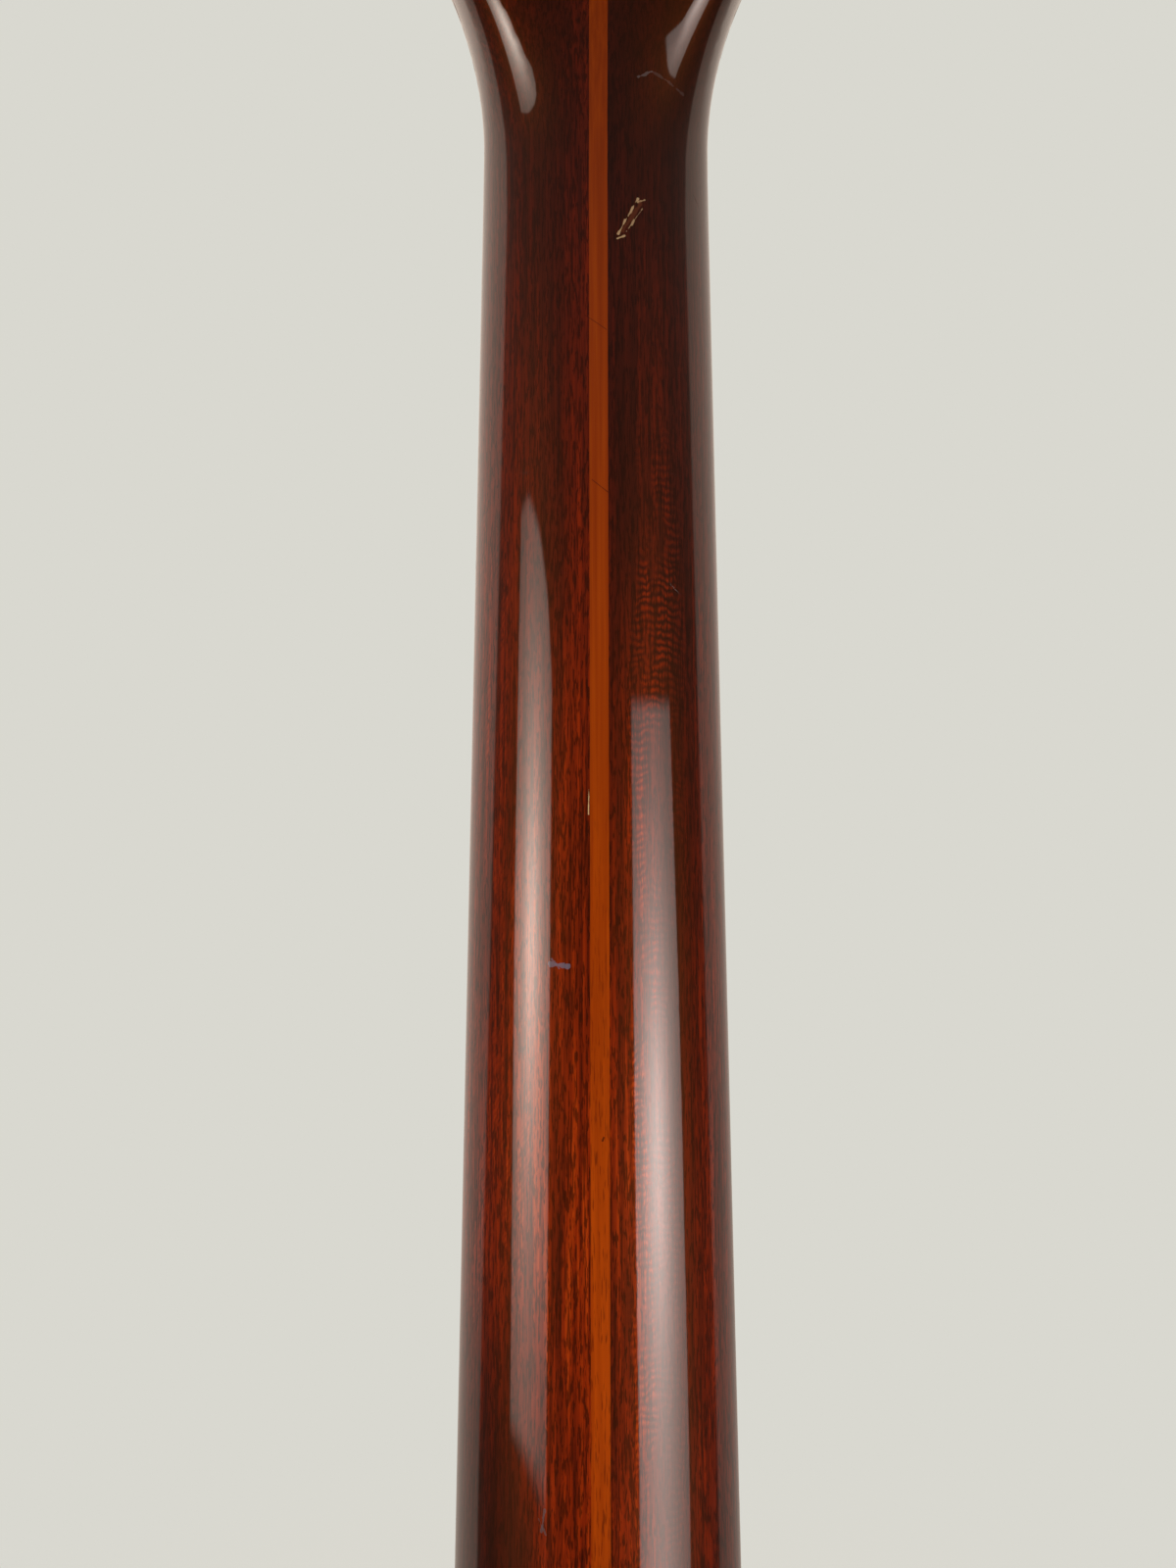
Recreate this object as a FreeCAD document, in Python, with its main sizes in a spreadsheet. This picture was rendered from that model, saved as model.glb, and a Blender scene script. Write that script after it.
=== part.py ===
import FreeCAD, Part
import math
import os
import Sketcher
from FreeCAD import Placement, Rotation, Vector

# Guitar neck assembly: a laminated neck with its angled headstock, fingerboard, truss rod,
# bolt-on heel and six worm-and-gear tuners. Millimetres. +Z runs along the neck towards the
# headstock, the strings' side faces -Y, and the bass side is -X. The origin is the middle of
# the two heel bolts on the joint plane.

DIMENSIONS = {
    # strings and fingerboard
    "scale_length": 628.0,
    "fret_count": 20,
    "joint_fret": 14,
    "nut_width": 41.3,
    "width_at_12": 52.4,
    "board_thickness": 6.2,
    "board_radius": 305.0,
    "board_overhang": 5.0,
    "binding_width": 1.6,
    "slot_width": 0.5,
    "slot_depth": 2.8,
    "fret_width": 2.2,
    "fret_height": 1.0,
    "tang_depth": 1.5,
    "fret_end_gap": 0.4,
    "dot_radius": 3.2,
    "dot_depth": 1.4,
    "double_dot_spread": 10.0,
    "side_dot_radius": 1.0,
    "nut_length": 5.0,
    "nut_height": 8.2,
    "string_spread": 35.5,
    # neck shaft and heel
    "depth_at_1": 14.6,
    "depth_at_12": 17.0,
    "strip_width": 3.2,
    "glue_offset": 26.0,
    "heel_depth": 50.0,
    "heel_swell": 41.0,
    "heel_spread": 42.0,
    "heel_power": 1.6,
    "heel_face_height": 104.0,
    "cap_thickness": 2.5,
    # headstock
    "head_angle": 14.0,
    "head_thickness": 13.5,
    "head_length": 175.0,
    "bend_reach": 22.0,
    "flare_radius": 65.0,
    "ear_radius": 14.0,
    "ear_half_width": 35.5,
    "side_angle": 1.5,
    "crest_radius": 70.0,
    "corner_radius": 12.0,
    "edge_radius": 2.5,
    "plate_start": 44.0,
    "ear_joint": 29.0,
    "veneer_thickness": 1.6,
    # truss rod
    "rod_radius": 2.4,
    "rod_slot_width": 6.0,
    "rod_slot_depth": 10.4,
    "rod_depth": 7.4,
    "rod_clearance": 0.2,
    "rod_start": 16.0,
    "anchor_length": 10.0,
    "pocket_gap": 1.7,
    "pocket_width": 12.0,
    "pocket_length": 33.0,
    "pocket_drop": 5.2,
    "washer_thickness": 1.6,
    "rod_nut_length": 10.0,
    "rod_nut_flats": 7.9,
    "rod_nut_gap": 0.05,
    "cover_thickness": 2.2,
    "cover_screw_length": 8.0,
    # heel bolts
    "bolt_spacing": 26.0,
    "insert_radius": 4.75,
    "insert_length": 13.0,
    "bolt_hole_radius": 2.5,
    # tuners
    "post_offset": 22.5,
    "first_post": 52.0,
    "post_pitch": 40.0,
    "post_radius": 3.0,
    "post_rise": 17.0,
    "bushing_radius": 5.0,
    "flange_radius": 6.8,
    "flange_thickness": 1.0,
    "bushing_length": 9.0,
    "running_gap": 0.05,
    "gear_module": 0.65,
    "gear_teeth": 15,
    "gear_width": 4.0,
    "gear_root_radius": 4.06,
    "gear_tip_radius": 5.37,
    "gear_bore_radius": 2.2,
    "worm_pitch_radius": 3.0,
    "worm_root_radius": 2.2,
    "worm_tip_radius": 3.5,
    "worm_turns": 4,
    "worm_height": 5.2,
    "shaft_radius": 1.6,
    "shaft_length": 26.0,
    "button_start": 17.6,
    "button_middle": 26.6,
    "button_half_length": 6.8,
    "button_half_width": 8.4,
    "button_half_thickness": 4.3,
    "stem_foot_radius": 2.7,
    "stem_top_radius": 3.3,
    "stem_length": 4.6,
    "collar_bead": 0.5,
    "plate_thickness": 1.0,
    "shell_width": 15.2,
    "shell_height": 9.9,
    "shell_wall": 0.7,
    "shell_round": 2.0,
    "lug_gap": 5.2,
    "lug_thickness": 1.2,
    "screw_radius": 1.2,
    "screw_head_radius": 2.3,
    "tuner_screw_length": 8.0,
}

doc = FreeCAD.newDocument("guitar_neck")
sheet = doc.addObject("Spreadsheet::Sheet", "dims")
for row, (alias, value) in enumerate(DIMENSIONS.items(), start=1):
    sheet.set(f"A{row}", alias)
    sheet.set(f"B{row}", str(value))
    sheet.setAlias(f"B{row}", alias)
doc.recompute()


def dim(alias):
    return float(sheet.get(alias))


# ---------------------------------------------------------------- helpers


def add(kind, name, place=None, **sizes):
    """A document object whose sizes are expressions on the sheet."""
    made = doc.addObject(kind, name)
    for size, expression in sizes.items():
        made.setExpression(size, expression)
    if place is not None:
        made.Placement = place
    return made


def at(x, y, z, turn=None):
    return Placement(Vector(x, y, z), turn or Rotation())


def cut(name, base, tool):
    made = add("Part::Cut", name)
    made.Base = base
    made.Tool = tool
    return made


def common(name, base, tool):
    made = add("Part::Common", name)
    made.Base = base
    made.Tool = tool
    return made


def fuse(name, pieces):
    made = add("Part::MultiFuse", name)
    made.Shapes = pieces
    return made


def group(name, pieces, place=None):
    """Separate solids held in one object."""
    made = add("Part::Compound", name)
    made.Links = pieces
    if place is not None:
        made.Placement = place
    return made


def box(name, corner, sizes, turn=None):
    """A box from its lowest corner; each size is a number or an expression."""
    keys = ("Length", "Width", "Height")
    place = at(*corner, turn)
    return add("Part::Box", name, place, **{key: str(size) for key, size in zip(keys, sizes)})


def cylinder(name, radius, height, place):
    return add("Part::Cylinder", name, place, Radius=str(radius), Height=str(height))


def origin_plane(body, role):
    return next(item for item in body.Origin.OriginFeatures if item.Role == role)


def new_sketch(body, role, name, offset=0.0):
    made = body.newObject("Sketcher::SketchObject", name)
    made.AttachmentSupport = [(origin_plane(body, role), "")]
    made.MapMode = "FlatFace"
    made.AttachmentOffset = at(0, 0, offset)
    return made


def join_loop(sketch, count, first=0):
    """Ties each piece to the next one, round a closed outline, at the ends that meet."""
    for index in range(count):
        here = first + index
        following = first + (index + 1) % count
        for here_end, next_end in ((2, 1), (1, 1), (2, 2), (1, 2)):
            gap = sketch.getPoint(here, here_end) - sketch.getPoint(following, next_end)
            if gap.Length < 0.001:
                meeting = Sketcher.Constraint("Coincident", here, here_end, following, next_end)
                sketch.addConstraint(meeting)
                break


def draw_polygon(sketch, points):
    """A closed outline of straight lines."""
    first = sketch.GeometryCount
    for start, end in zip(points, points[1:] + points[:1]):
        sketch.addGeometry(Part.LineSegment(Vector(*start, 0), Vector(*end, 0)), False)
    join_loop(sketch, len(points), first)


def draw_circle(sketch, name, x, y, radius):
    """A circle whose radius is an expression on the sheet."""
    index = sketch.addGeometry(Part.Circle(Vector(x, y, 0), Vector(0, 0, 1), 1.0), False)
    constraint = sketch.addConstraint(Sketcher.Constraint("Radius", index, 1.0))
    sketch.renameConstraint(constraint, name)
    sketch.setExpression(f"Constraints.{name}", str(radius))


def pad(body, sketch, name, length, reverse=False):
    made = body.newObject("PartDesign::Pad", name)
    made.Profile = sketch
    made.setExpression("Length", str(length))
    made.Reversed = reverse
    body.Tip = made
    return made


def pocket_through(body, sketch, name):
    """Cuts a sketch right through, both ways from its plane."""
    made = body.newObject("PartDesign::Pocket", name)
    made.Profile = sketch
    made.Type = "ThroughAll"
    made.Midplane = True
    body.Tip = made
    return made


def revolve(body, sketch, name):
    """A full turn about the sketch's own vertical axis."""
    made = body.newObject("PartDesign::Revolution", name)
    made.Profile = sketch
    made.ReferenceAxis = (sketch, ["V_Axis"])
    made.Angle = 360
    body.Tip = made
    return made


# ---------------------------------------------------------------- derived places


def fret_distance(number):
    """From the nut to a fret, by the equal-tempered rule."""
    return dim("scale_length") * (1 - 2 ** (-number / 12))


def board_width(distance):
    """The fingerboard's width at a distance from the nut."""
    growth = (dim("width_at_12") - dim("nut_width")) / fret_distance(12)
    return dim("nut_width") + growth * distance


GLUE_Y = -dim("glue_offset")
NUT_Z = fret_distance(dim("joint_fret"))
BEND_Z = NUT_Z + dim("nut_length")
BOARD_LENGTH = fret_distance(dim("fret_count")) + dim("board_overhang")
BOARD_END_Z = NUT_Z - BOARD_LENGTH
NUT_HALF = dim("nut_width") / 2
HEAD_ANGLE = math.radians(dim("head_angle"))
HEAD_AXIS = Vector(0, math.sin(HEAD_ANGLE), math.cos(HEAD_ANGLE))
BACK_AXIS = Vector(0, math.cos(HEAD_ANGLE), -math.sin(HEAD_ANGLE))
# Headstock frame: its X is the bass side, its Y runs up the headstock from the bend, and its Z
# points out of the back, from 0 at the front of the wood.
HEAD_FRAME = Placement(
    Vector(0, GLUE_Y, BEND_Z),
    Rotation(Vector(-1, 0, 0), HEAD_AXIS, BACK_AXIS, "ZYX"),
)
TO_FRONT = Rotation(Vector(1, 0, 0), 90)
TO_BASS = Rotation(Vector(0, 1, 0), -90)
FLIP = Rotation(Vector(1, 0, 0), 180)


def in_head(x, y, z, turn=None):
    return HEAD_FRAME.multiply(at(x, y, z, turn))


def smooth_step(value, start, end):
    share = min(max((value - start) / (end - start), 0.0), 1.0)
    return share * share * (3 - 2 * share)


# ---------------------------------------------------------------- headstock outline


def outline_points():
    """The centres and tangent points of one side of the headstock's outline."""
    flare = Vector(NUT_HALF + dim("flare_radius"), -dim("nut_length"), 0)
    reach = dim("flare_radius") + dim("ear_radius")
    ear_x = dim("ear_half_width") - dim("ear_radius")
    ear = Vector(ear_x, flare.y + math.sqrt(reach**2 - (flare.x - ear_x) ** 2), 0)
    slant = math.radians(dim("side_angle"))
    outward = Vector(math.cos(slant), -math.sin(slant), 0)
    along = Vector(math.sin(slant), math.cos(slant), 0)
    crest = Vector(0, dim("head_length") - dim("crest_radius"), 0)
    start = ear + outward * (dim("ear_radius") - dim("corner_radius")) - crest
    inner = dim("crest_radius") - dim("corner_radius")
    halfway = start.dot(along)
    rise = -halfway + math.sqrt(halfway**2 - start.dot(start) + inner**2)
    corner = crest + start + along * rise
    to_crest = (corner - crest).normalize()
    return {
        "flare": flare,
        "ear": ear,
        "ear_start": flare + (ear - flare) * (dim("flare_radius") / reach),
        "ear_end": ear + outward * dim("ear_radius"),
        "corner": corner,
        "corner_start": corner + outward * dim("corner_radius"),
        "corner_mid": corner + (outward + to_crest).normalize() * dim("corner_radius"),
        "corner_end": corner + to_crest * dim("corner_radius"),
        "crest": Vector(0, dim("head_length"), 0),
    }


OUTLINE = outline_points()


def side_x(run):
    """The side line's distance from the middle, at a distance from the bend."""
    lift = run - OUTLINE["ear_end"].y
    return OUTLINE["ear_end"].x + lift * math.tan(math.radians(dim("side_angle")))


def half_width(run):
    """Half the width of the wood at a distance from the bend, negative along the neck."""
    if run <= -dim("nut_length"):
        return board_width(-dim("nut_length") - run) / 2
    if run <= OUTLINE["ear_start"].y:
        lift = run - OUTLINE["flare"].y
        return OUTLINE["flare"].x - math.sqrt(dim("flare_radius") ** 2 - lift**2)
    if run <= OUTLINE["ear_end"].y:
        lift = run - OUTLINE["ear"].y
        return OUTLINE["ear"].x + math.sqrt(dim("ear_radius") ** 2 - lift**2)
    return side_x(run)


def arc(start, middle, end):
    return Part.Arc(start, middle, end)


def on_arc(centre, start, end):
    """The middle of an arc from its centre and two ends."""
    radius = (start - centre).Length
    return centre + ((start - centre) + (end - centre)).normalize() * radius


def mirrored(point):
    return Vector(-point.x, point.y, 0)


def upper_outline(start):
    """The outline from the side line's start round the top, then down the other side."""
    corner = [OUTLINE["corner_start"], OUTLINE["corner_mid"], OUTLINE["corner_end"]]
    far_corner = [mirrored(point) for point in reversed(corner)]
    return [
        Part.LineSegment(start, corner[0]),
        arc(*corner),
        arc(corner[-1], OUTLINE["crest"], far_corner[0]),
        arc(*far_corner),
        Part.LineSegment(far_corner[-1], mirrored(start)),
    ]


def lower_outline():
    """The ears and the flare down to the bend, for both sides, closed across the bend."""
    points = OUTLINE
    foot = Vector(half_width(0.0), 0, 0)
    ear_middle = on_arc(points["ear"], points["ear_end"], points["ear_start"])
    flare_middle = on_arc(points["flare"], points["ear_start"], foot)
    return [
        arc(mirrored(points["ear_end"]), mirrored(ear_middle), mirrored(points["ear_start"])),
        arc(mirrored(points["ear_start"]), mirrored(flare_middle), mirrored(foot)),
        Part.LineSegment(mirrored(foot), foot),
        arc(foot, flare_middle, points["ear_start"]),
        arc(points["ear_start"], ear_middle, points["ear_end"]),
    ]


# ---------------------------------------------------------------- neck blank

SECTION_POINTS = 48
FRONT_STOCK = 8.0
BLEND_START = -10.0
SIDE_SHARE = 0.3
EDGE_SHARE = 0.35
HEEL_STATIONS = (0, 7, 14, 21, 28, 36, 45, 55, 66, 79, 94, 112)
SHAFT_STEPS = 6
BEND_STEPS = 10
EAR_STEP = 3.0


def neck_depth(height):
    """The wood's depth behind the glue plane, with the heel's swell."""
    first_z = NUT_Z - fret_distance(1)
    twelfth_z = NUT_Z - fret_distance(12)
    slope = (dim("depth_at_12") - dim("depth_at_1")) / (first_z - twelfth_z)
    shaft = dim("depth_at_12") - slope * (height - twelfth_z)
    swell = math.exp(-((height / dim("heel_spread")) ** dim("heel_power")))
    return shaft + dim("heel_swell") * swell


def section_plane(run):
    """Where a section stands and how far it has leaned back, at a distance from the bend."""
    reach = dim("bend_reach")
    radius = reach / math.tan(HEAD_ANGLE / 2)
    if run <= -reach:
        return Vector(0, GLUE_Y, BEND_Z + run), 0.0
    if run >= reach:
        return Vector(0, GLUE_Y, BEND_Z) + HEAD_AXIS * run, HEAD_ANGLE
    lean = HEAD_ANGLE * (run + reach) / (2 * reach)
    y = GLUE_Y + radius * (1 - math.cos(lean))
    return Vector(0, y, BEND_Z - reach + radius * math.sin(lean)), lean


def round_box_point(share, half, depth):
    """A quarter of a round-edged rectangle: side, rounded edge, then flat back."""
    edge = dim("edge_radius")
    if share <= SIDE_SHARE:
        return half, (depth - edge) * share / SIDE_SHARE
    if share <= SIDE_SHARE + EDGE_SHARE:
        angle = math.pi / 2 * (share - SIDE_SHARE) / EDGE_SHARE
        return half - edge + edge * math.cos(angle), depth - edge + edge * math.sin(angle)
    flat_share = (share - SIDE_SHARE - EDGE_SHARE) / (1 - SIDE_SHARE - EDGE_SHARE)
    return (half - edge) * (1 - flat_share), depth


def section_point(share, half, depth, blend):
    """A quarter section from the side (0) to the middle of the back (1)."""
    angle = math.pi / 2 * share
    flat_x, flat_y = round_box_point(share, half, depth)
    x = (1 - blend) * half * math.cos(angle) + blend * flat_x
    y = (1 - blend) * depth * math.sin(angle) + blend * flat_y
    return x, y


def section_wire(run):
    """One closed section of the neck: half ellipse on the neck, flat-backed on the headstock."""
    origin, lean = section_plane(run)
    deep = Vector(0, math.cos(lean), -math.sin(lean))
    end = dim("plate_start")
    settle = smooth_step(run, -dim("bend_reach"), end)
    half = half_width(run)
    depth = neck_depth(BEND_Z + run) * (1 - settle) + dim("head_thickness") * settle
    blend = smooth_step(run, BLEND_START, end)
    back = []
    for index in range(SECTION_POINTS + 1):
        share = 2 * index / SECTION_POINTS
        side = 1 if share <= 1 else -1
        x, y = section_point(min(share, 2 - share), half, depth, blend)
        back.append(origin + Vector(side * x, 0, 0) + deep * y)
    curve = Part.BSplineCurve()
    curve.interpolate(Points=back, Parameters=[float(index) for index in range(len(back))])
    front = [point - deep * FRONT_STOCK for point in (back[-1], back[0])]
    edges = [
        Part.makeLine(front[1], back[0]),
        curve.toShape(),
        Part.makeLine(back[-1], front[0]),
        Part.makeLine(front[0], front[1]),
    ]
    return Part.Wire(edges)


def neck_stations():
    """Distances from the bend, close together where the shape changes fast."""
    heel = [-BEND_Z + height for height in HEEL_STATIONS]
    first_bend = -dim("bend_reach")
    bends = [first_bend + 4.0 * step for step in range(BEND_STEPS + 1)]
    gap = (first_bend - heel[-1]) / SHAFT_STEPS
    shaft = [heel[-1] + gap * step for step in range(1, SHAFT_STEPS)]
    ears = []
    run = bends[-1] + EAR_STEP
    while run < dim("plate_start") - 1:
        ears.append(run)
        run += EAR_STEP
    return heel + shaft + bends + ears + [dim("plate_start")]


blank = add("Part::Feature", "neck_blank")
blank.Shape = Part.makeLoft([section_wire(run) for run in neck_stations()], True, False)

plate = add("PartDesign::Body", "headstock_plate")
plate_sketch = new_sketch(plate, "XY_Plane", "plate_outline")
plate_foot = Vector(side_x(dim("plate_start")), dim("plate_start"), 0)
plate_edges = upper_outline(plate_foot) + [Part.LineSegment(mirrored(plate_foot), plate_foot)]
plate_sketch.addGeometry(plate_edges, False)
join_loop(plate_sketch, len(plate_edges))
plate_pad = pad(plate, plate_sketch, "plate_pad", "dims.head_thickness")
doc.recompute()


def back_rim(shape):
    """The names of the edges round the back of the headstock plate, less the one at its foot."""
    names = []
    for number, edge in enumerate(shape.Edges, start=1):
        at_back = abs(edge.BoundBox.ZMin - dim("head_thickness")) < 0.001
        at_foot = edge.BoundBox.YMax < dim("plate_start") + 0.001
        if at_back and not at_foot:
            names.append(f"Edge{number}")
    return names


rim = plate.newObject("PartDesign::Fillet", "plate_rim")
rim.Base = (plate_pad, back_rim(plate_pad.Shape))
rim.setExpression("Radius", "dims.edge_radius")
plate.Tip = rim
plate.Placement = HEAD_FRAME

# ---------------------------------------------------------------- neck machining

# Cutting blocks stand clear of the wood on every side that they don't cut.
FAR = 900.0
WIDE = 120.0
SEAM_TOLERANCE = 0.01
neck_front = box("neck_front", (-WIDE / 2, GLUE_Y - WIDE, -WIDE), (WIDE, WIDE, FAR))
head_front = box("head_front", (0, 0, 0), (WIDE, FAR, WIDE))
head_front.Placement = in_head(-WIDE / 2, -WIDE / 2, -WIDE)
heel_back = box(
    "heel_back",
    (-WIDE / 2, GLUE_Y + dim("heel_depth"), -1),
    (WIDE, WIDE, "dims.heel_face_height"),
)

rod_y = GLUE_Y + dim("rod_depth")
pocket_z = BEND_Z + dim("pocket_gap")
slot_length = pocket_z - dim("rod_start")
rod_slot = box(
    "rod_slot",
    (-dim("rod_slot_width") / 2, GLUE_Y - 1, dim("rod_start")),
    ("dims.rod_slot_width", "dims.rod_slot_depth + 1", slot_length),
)
POCKET_STOCK = 12.0
pocket_depth = f"dims.rod_depth + dims.pocket_drop + {POCKET_STOCK}"
rod_pocket = box(
    "rod_pocket",
    (-dim("pocket_width") / 2, GLUE_Y - POCKET_STOCK, pocket_z),
    ("dims.pocket_width", pocket_depth, "dims.pocket_length"),
)


def tuner_places():
    """Each tuner's number, side (+1 bass, -1 treble) and place along the headstock."""
    places = []
    for number in range(1, 7):
        side = 1 if number <= 3 else -1
        step = number - 1 if side > 0 else 6 - number
        run = dim("first_post") + step * dim("post_pitch")
        places.append((number, side, run))
    return places


def tuner_frame(side, run):
    """A tuner's frame: the headstock's, moved to the post on the back of the wood."""
    return in_head(side * dim("post_offset"), run, dim("head_thickness"))


TAB_RUNS = (-16.6, 10.8)
HOLE_DEPTH = 8.0
COVER_SCREWS = ((-8.6, 6.5), (8.6, 6.5), (0.0, 41.5))
COVER_HOLE_RADIUS = 1.0

drilled = []
for number, side, run in tuner_places():
    frame = tuner_frame(side, run)
    through = cylinder(
        f"post_hole_{number}",
        "dims.bushing_radius",
        "dims.head_thickness + 2",
        frame.multiply(at(0, 0, -dim("head_thickness") - 1)),
    )
    drilled.append(through)
    for place, tab_run in enumerate(TAB_RUNS, start=1):
        pilot = frame.multiply(at(0, tab_run, -HOLE_DEPTH))
        drilled.append(cylinder(f"pilot_{number}_{place}", "dims.screw_radius", HOLE_DEPTH + 1, pilot))
for number, (x, run) in enumerate(COVER_SCREWS, start=1):
    pilot = in_head(x, run, -dim("veneer_thickness") - 1)
    drilled.append(cylinder(f"cover_pilot_{number}", COVER_HOLE_RADIUS, HOLE_DEPTH + 1, pilot))
bolt_ys = (-dim("bolt_spacing") / 2, dim("bolt_spacing") / 2)
for number, y in enumerate(bolt_ys, start=1):
    seat = at(0, y, -1)
    seat_length = "dims.insert_length + 1"
    drilled.append(cylinder(f"insert_hole_{number}", "dims.insert_radius", seat_length, seat))

openings = group("neck_openings", drilled)
front_stock = fuse("front_stock", [neck_front, head_front, heel_back])
doc.recompute()
joined_blank = add("Part::Feature", "joined_blank")
joined_blank.Shape = blank.Shape.fuse(plate.Shape, SEAM_TOLERANCE)
faced_blank = cut("faced_blank", joined_blank, front_stock)
rod_way = fuse("rod_way", [rod_slot, rod_pocket])
slotted_blank = cut("slotted_blank", faced_blank, rod_way)
machined = cut("machined_neck", slotted_blank, openings)

# ---------------------------------------------------------------- neck laminations

half_strip = dim("strip_width") / 2


def lamination(name, low_x, high_x):
    """The machined neck between two planes parallel to its middle."""
    slice_box = box(f"{name}_slice", (low_x, -WIDE, -1), (high_x - low_x, 2 * WIDE, FAR))
    return common(name, machined, slice_box)


parts = [
    lamination("neck_centre_strip", -half_strip, half_strip),
    lamination("neck_bass_half", -dim("ear_joint"), -half_strip),
    lamination("neck_treble_half", half_strip, dim("ear_joint")),
    lamination("headstock_ear_bass", -WIDE, -dim("ear_joint")),
    lamination("headstock_ear_treble", dim("ear_joint"), WIDE),
]

cap_slab = box(
    "cap_slab",
    (-WIDE / 2, GLUE_Y + dim("heel_depth"), 0),
    (WIDE, "dims.cap_thickness", WIDE),
)
parts.append(common("heel_cap", blank, cap_slab))

# ---------------------------------------------------------------- headstock veneer

veneer = add("PartDesign::Body", "veneer_blank")
veneer_sketch = new_sketch(veneer, "XY_Plane", "veneer_outline")
veneer_edges = upper_outline(OUTLINE["ear_end"]) + lower_outline()
veneer_sketch.addGeometry(veneer_edges, False)
join_loop(veneer_sketch, len(veneer_edges))
pad(veneer, veneer_sketch, "veneer_pad", "dims.veneer_thickness", reverse=True)
veneer_holes = new_sketch(veneer, "XY_Plane", "veneer_holes")
for number, side, run in tuner_places():
    draw_circle(veneer_holes, f"post_{number}", side * dim("post_offset"), run, "dims.bushing_radius")
for number, (x, run) in enumerate(COVER_SCREWS, start=1):
    draw_circle(veneer_holes, f"screw_{number}", x, run, COVER_HOLE_RADIUS)
pocket_through(veneer, veneer_holes, "veneer_drilling")
veneer.Placement = HEAD_FRAME
parts.append(cut("headstock_veneer", veneer, rod_pocket))

# ---------------------------------------------------------------- fingerboard

end_half = board_width(BOARD_LENGTH) / 2
board_front = GLUE_Y - dim("board_thickness")


def board_wedge(name, inset, width):
    """A tapering strip of the board, from its inset off the bass edge at both ends."""
    made = add("Part::Wedge", name, at(0, GLUE_Y, BOARD_END_Z, TO_FRONT))
    limits = {
        "Xmin": -end_half + inset(end_half),
        "X2min": -NUT_HALF + inset(NUT_HALF),
        "Ymin": 0,
        "Ymax": BOARD_LENGTH,
        "Zmin": 0,
        "Z2min": 0,
        "Zmax": "dims.board_thickness",
        "Z2max": "dims.board_thickness",
    }
    limits["Xmax"] = limits["Xmin"] + width(end_half)
    limits["X2max"] = limits["X2min"] + width(NUT_HALF)
    for key, limit in limits.items():
        made.setExpression(key, str(limit))
    return made


binding = dim("binding_width")
crown_y = board_front + dim("board_radius")
crown = cylinder("board_crown", "dims.board_radius", FAR, at(0, crown_y, -FAR / 3))
end_slab = box("end_slab", (-WIDE / 2, -WIDE, BOARD_END_Z), (WIDE, WIDE, "dims.binding_width"))

core = board_wedge("board_core", lambda half: binding, lambda half: 2 * half - 2 * binding)
crowned_core = common("crowned_core", cut("core_length", core, end_slab), crown)
fret_numbers = range(1, int(dim("fret_count")) + 1)
slots = []
for number in fret_numbers:
    low_z = NUT_Z - fret_distance(number) - dim("slot_width") / 2
    corner = (-WIDE / 2, board_front - 1, low_z)
    slots.append(box(f"fret_slot_{number}", corner, (WIDE, "dims.slot_depth + 1", "dims.slot_width")))


DOTTED_FRETS = (3, 5, 7, 9, 12, 15, 17, 19)


def dot_places():
    """The places of the position dots: side to side and from the nut."""
    places = []
    spread = dim("double_dot_spread")
    for number in DOTTED_FRETS:
        middle = (fret_distance(number - 1) + fret_distance(number)) / 2
        offsets = (-spread, spread) if number == 12 else (0.0,)
        places.extend((offset, middle) for offset in offsets)
    return places


dot_bottom = board_front + dim("dot_depth")
dots = []
for number, (x, distance) in enumerate(dot_places(), start=1):
    place = at(x, dot_bottom, NUT_Z - distance, TO_FRONT)
    dots.append(cylinder(f"dot_{number}", "dims.dot_radius", "dims.dot_depth + 1", place))
dot_tools = group("dot_tools", dots)
slotted_core = cut("slotted_core", crowned_core, group("fret_slots", slots))
parts.append(cut("fingerboard", slotted_core, dot_tools))
parts.append(common("position_inlays", dot_tools, crown))

side_dots = []
for number, distance in enumerate(sorted({place[1] for place in dot_places()}), start=1):
    x = -board_width(distance) / 2 + binding
    place = at(x, GLUE_Y - dim("board_thickness") / 2, NUT_Z - distance, TO_BASS)
    side_dots.append(cylinder(f"side_dot_{number}", "dims.side_dot_radius", "dims.binding_width", place))
side_tools = group("side_dot_tools", side_dots)

bass_edge = board_wedge("bass_edge", lambda half: 0, lambda half: binding)
treble_edge = board_wedge("treble_edge", lambda half: 2 * half - binding, lambda half: binding)
whole_board = board_wedge("whole_board", lambda half: 0, lambda half: 2 * half)
end_edge = common("end_edge", whole_board, end_slab)
edges = fuse("board_edges", [bass_edge, treble_edge, end_edge])
parts.append(cut("fingerboard_binding", common("edges_crowned", edges, crown), side_tools))
parts.append(common("side_dots", side_tools, bass_edge))


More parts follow.
